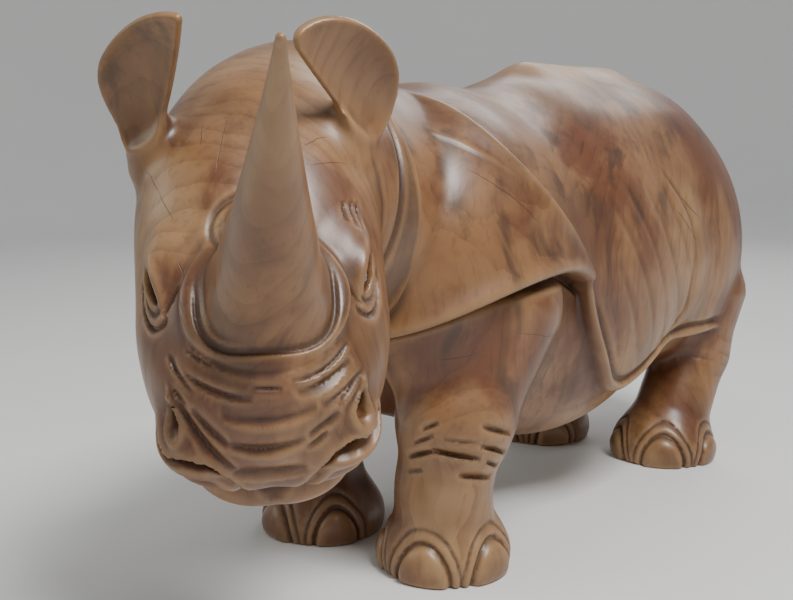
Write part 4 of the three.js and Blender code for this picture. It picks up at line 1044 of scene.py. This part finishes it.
class CarvingSettings(bpy.types.PropertyGroup):
    cell: bpy.props.FloatProperty(
        name="Trace spacing", description="Spacing of the grid the surface is traced on, in millimetres",
        default=2.0, min=1.5, max=8)
    faces: bpy.props.IntProperty(
        name="Triangles", description="About how many triangles the carving is thinned to", default=190000,
        min=5000, max=198000)


def colour_of(name, description, default):
    return bpy.props.FloatVectorProperty(
        name=name, description=description, subtype="COLOR", size=4, default=(*default, 1), min=0, max=1)


def share_of(name, description, default):
    return bpy.props.FloatProperty(
        name=name, description=description, default=default, min=0, max=1, subtype="FACTOR")


def strength_of(name, description, default):
    return bpy.props.FloatProperty(
        name=name, description=description, default=default, min=0, max=500, unit="POWER")


class WoodSettings(bpy.types.PropertyGroup):
    # Pale wood, and the colour of the highlight painted on the ridges and along the top of the back
    pale_and_highlight: colour_of("Pale wood", "Sapwood and rubbed ridges", (0.385, 0.23, 0.108))
    light: colour_of("Light wood", "The lighter bands of the wood", (0.245, 0.12, 0.049))
    middle: colour_of("Wood", "The darker bands of the wood", (0.135, 0.058, 0.022))
    late: colour_of("Late growth", "What the lines of rings and fibres multiply the wood by", (0.42, 0.28, 0.18))
    # Dark wood, and the painted shade line just under the pale top of the back
    dark: colour_of("Dark wood", "Smoky streaks and the edge of the sapwood", (0.045, 0.02, 0.01))
    red: colour_of("Red wood", "Reddish stains", (0.115, 0.034, 0.012))
    # The colour of the cracks, and of the shade painted into the hollows
    crack_and_shade: colour_of("Grime", "Polish and dust gathered in the hollows and cracks", (0.035, 0.018, 0.01))
    eye: colour_of("Eye", "Dark polished eyes", (0.012, 0.012, 0.016))
    ring_width: bpy.props.FloatProperty(
        name="Ring width", description="Width of a growth ring", default=0.014, min=0.002, max=0.05,
        unit="LENGTH")
    # How strongly shade is painted into the hollows
    hollow_shade: share_of("Grime amount", "How dark the hollows are", 0.6)
    # How strongly a highlight is painted on the ridges
    ridge_highlight: share_of("Rubbing", "How pale the ridges are rubbed", 0.45)
    roughness: share_of("Roughness", "Roughness of the polish", 0.38)


class StageSettings(bpy.types.PropertyGroup):
    floor: colour_of("Floor", "Colour of the plain floor", (0.8, 0.79, 0.77))
    radius: bpy.props.FloatProperty(
        name="Floor radius", description="Where the floor starts to curve up", default=3, min=1.5,
        max=20, unit="LENGTH")
    key: strength_of("Key light", "Strength of the main light", 58)
    fill: strength_of("Fill light", "Strength of the fill light", 8)
    back: strength_of("Back light", "Strength of the light from behind", 16)
    lens: bpy.props.FloatProperty(
        name="Lens", description="Focal length of the camera", default=50, min=10, max=200, unit="CAMERA")


class CARVING_OT_rhinoceros(bpy.types.Operator):
    """Carve the rhinoceros in fine relief in the place of its solid"""

    bl_idname = "carving.rhinoceros"
    bl_label = "Carved Rhinoceros"

    def execute(self, context):
        settings = context.scene.carving_settings
        cell = settings.cell
        piece = make_carving(cell, settings.faces)
        piece.data.materials.append(wood_material(context.scene.wood_settings))
        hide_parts(NODE)
        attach(piece, "root")
        return {"FINISHED"}


def aim(item, target):
    item.rotation_euler = (Vector(target) - item.location).to_track_quat("-Z", "Y").to_euler()


def add_light(name, place, target, size, power, colour=(1, 1, 1)):
    data = bpy.data.lights.new(name, "AREA")
    data.shape = "RECTANGLE"
    data.size, data.size_y = size
    data.energy = power
    data.color = colour
    light = bpy.data.objects.new(name, data)
    light.location = place
    bpy.context.scene.collection.objects.link(light)
    aim(light, target)
    return light


def sweep_mesh(radius, sides=96, steps=16):
    """A round floor that curves up into a wall all round."""
    curve = [(radius / 2, 0)]
    for i in range(steps + 1):
        turn = i / steps * math.pi / 2
        curve.append((radius * (1 + 0.5 * math.sin(turn)), radius * 0.5 * (1 - math.cos(turn))))
    curve.append((radius * 1.5, radius * 0.6))
    turns = [i / sides * 2 * math.pi for i in range(sides)]
    points = [(r * math.cos(t), r * math.sin(t), z) for r, z in curve for t in turns]
    faces = [list(range(sides))]
    for i in range(len(curve) - 1):
        for j in range(sides):
            near, far = i * sides, (i + 1) * sides
            faces.append([near + j, far + j, far + (j + 1) % sides, near + (j + 1) % sides])
    mesh = bpy.data.meshes.new("floor")
    mesh.from_pydata(points, [], faces)
    mesh.polygons.foreach_set("use_smooth", [True] * len(faces))
    return mesh


class CARVING_OT_stage(bpy.types.Operator):
    """Lay a plain pale floor with soft studio light, and place the camera"""

    bl_idname = "carving.stage"
    bl_label = "Studio Stage"

    def execute(self, context):
        settings = context.scene.stage_settings
        floor = bpy.data.objects.new("floor", sweep_mesh(settings.radius))
        context.scene.collection.objects.link(floor)
        floor.data.materials.append(floor_material(settings.floor))
        add_light("key", (1.15, -0.35, 2.1), (0, -0.1, 0.25), (0.8, 0.8), settings.key)
        add_light("side", (-1.6, -1.5, 1.2), (0, -0.3, 0.25), (1.4, 1.0), settings.fill, (0.93, 1, 0.9))
        add_light("back", (-0.6, 2.1, 1.9), (0, 0.1, 0.3), (1.6, 1.0), settings.back)
        world = bpy.data.worlds.new("studio")
        world.use_nodes = True
        world.node_tree.nodes["Background"].inputs[0].default_value = (0.8, 0.82, 0.86, 1)
        world.node_tree.nodes["Background"].inputs[1].default_value = 0.42
        context.scene.world = world
        data = bpy.data.cameras.new("camera")
        data.lens = settings.lens
        camera = bpy.data.objects.new("camera", data)
        context.scene.collection.objects.link(camera)
        camera.location = CAMERA["at"]
        turn, rise = CAMERA["azimuth"] * DEGREE, CAMERA["elevation"] * DEGREE
        back = Vector((math.sin(turn) * math.cos(rise), -math.cos(turn) * math.cos(rise), math.sin(rise)))
        camera.rotation_euler = (-back).to_track_quat("-Z", "Y").to_euler()
        context.scene.camera = camera
        return {"FINISHED"}


CAMERA = {"at": (0.5648, -0.8441, 0.386), "azimuth": 38.5, "elevation": 9}


class CARVING_PT_panel(bpy.types.Panel):
    """Sizes, colours and steps of the carving"""

    bl_idname = "CARVING_PT_panel"
    bl_label = "Carved Rhinoceros"
    bl_space_type = "VIEW_3D"
    bl_region_type = "UI"
    bl_category = "Carving"

    def draw(self, context):
        for name, _ in SETTINGS:
            box = self.layout.box()
            group = getattr(context.scene, name)
            for prop in group.bl_rna.properties:
                if prop.identifier not in ("name", "rna_type"):
                    box.prop(group, prop.identifier)
        for step in STEPS:
            self.layout.operator(step.bl_idname)


SETTINGS = [
    ("carving_settings", CarvingSettings),
    ("wood_settings", WoodSettings),
    ("stage_settings", StageSettings),
]
STEPS = [CARVING_OT_rhinoceros, CARVING_OT_stage]


def register():
    for name, group in SETTINGS:
        bpy.utils.register_class(group)
        setattr(bpy.types.Scene, name, bpy.props.PointerProperty(type=group))
    for step in STEPS:
        bpy.utils.register_class(step)
    bpy.utils.register_class(CARVING_PT_panel)


def unregister():
    bpy.utils.unregister_class(CARVING_PT_panel)
    for step in reversed(STEPS):
        bpy.utils.unregister_class(step)
    for name, group in reversed(SETTINGS):
        delattr(bpy.types.Scene, name)
        bpy.utils.unregister_class(group)


def main():
    register()
    bpy.ops.carving.rhinoceros()
    bpy.ops.carving.stage()


if __name__ == "__main__":
    main()
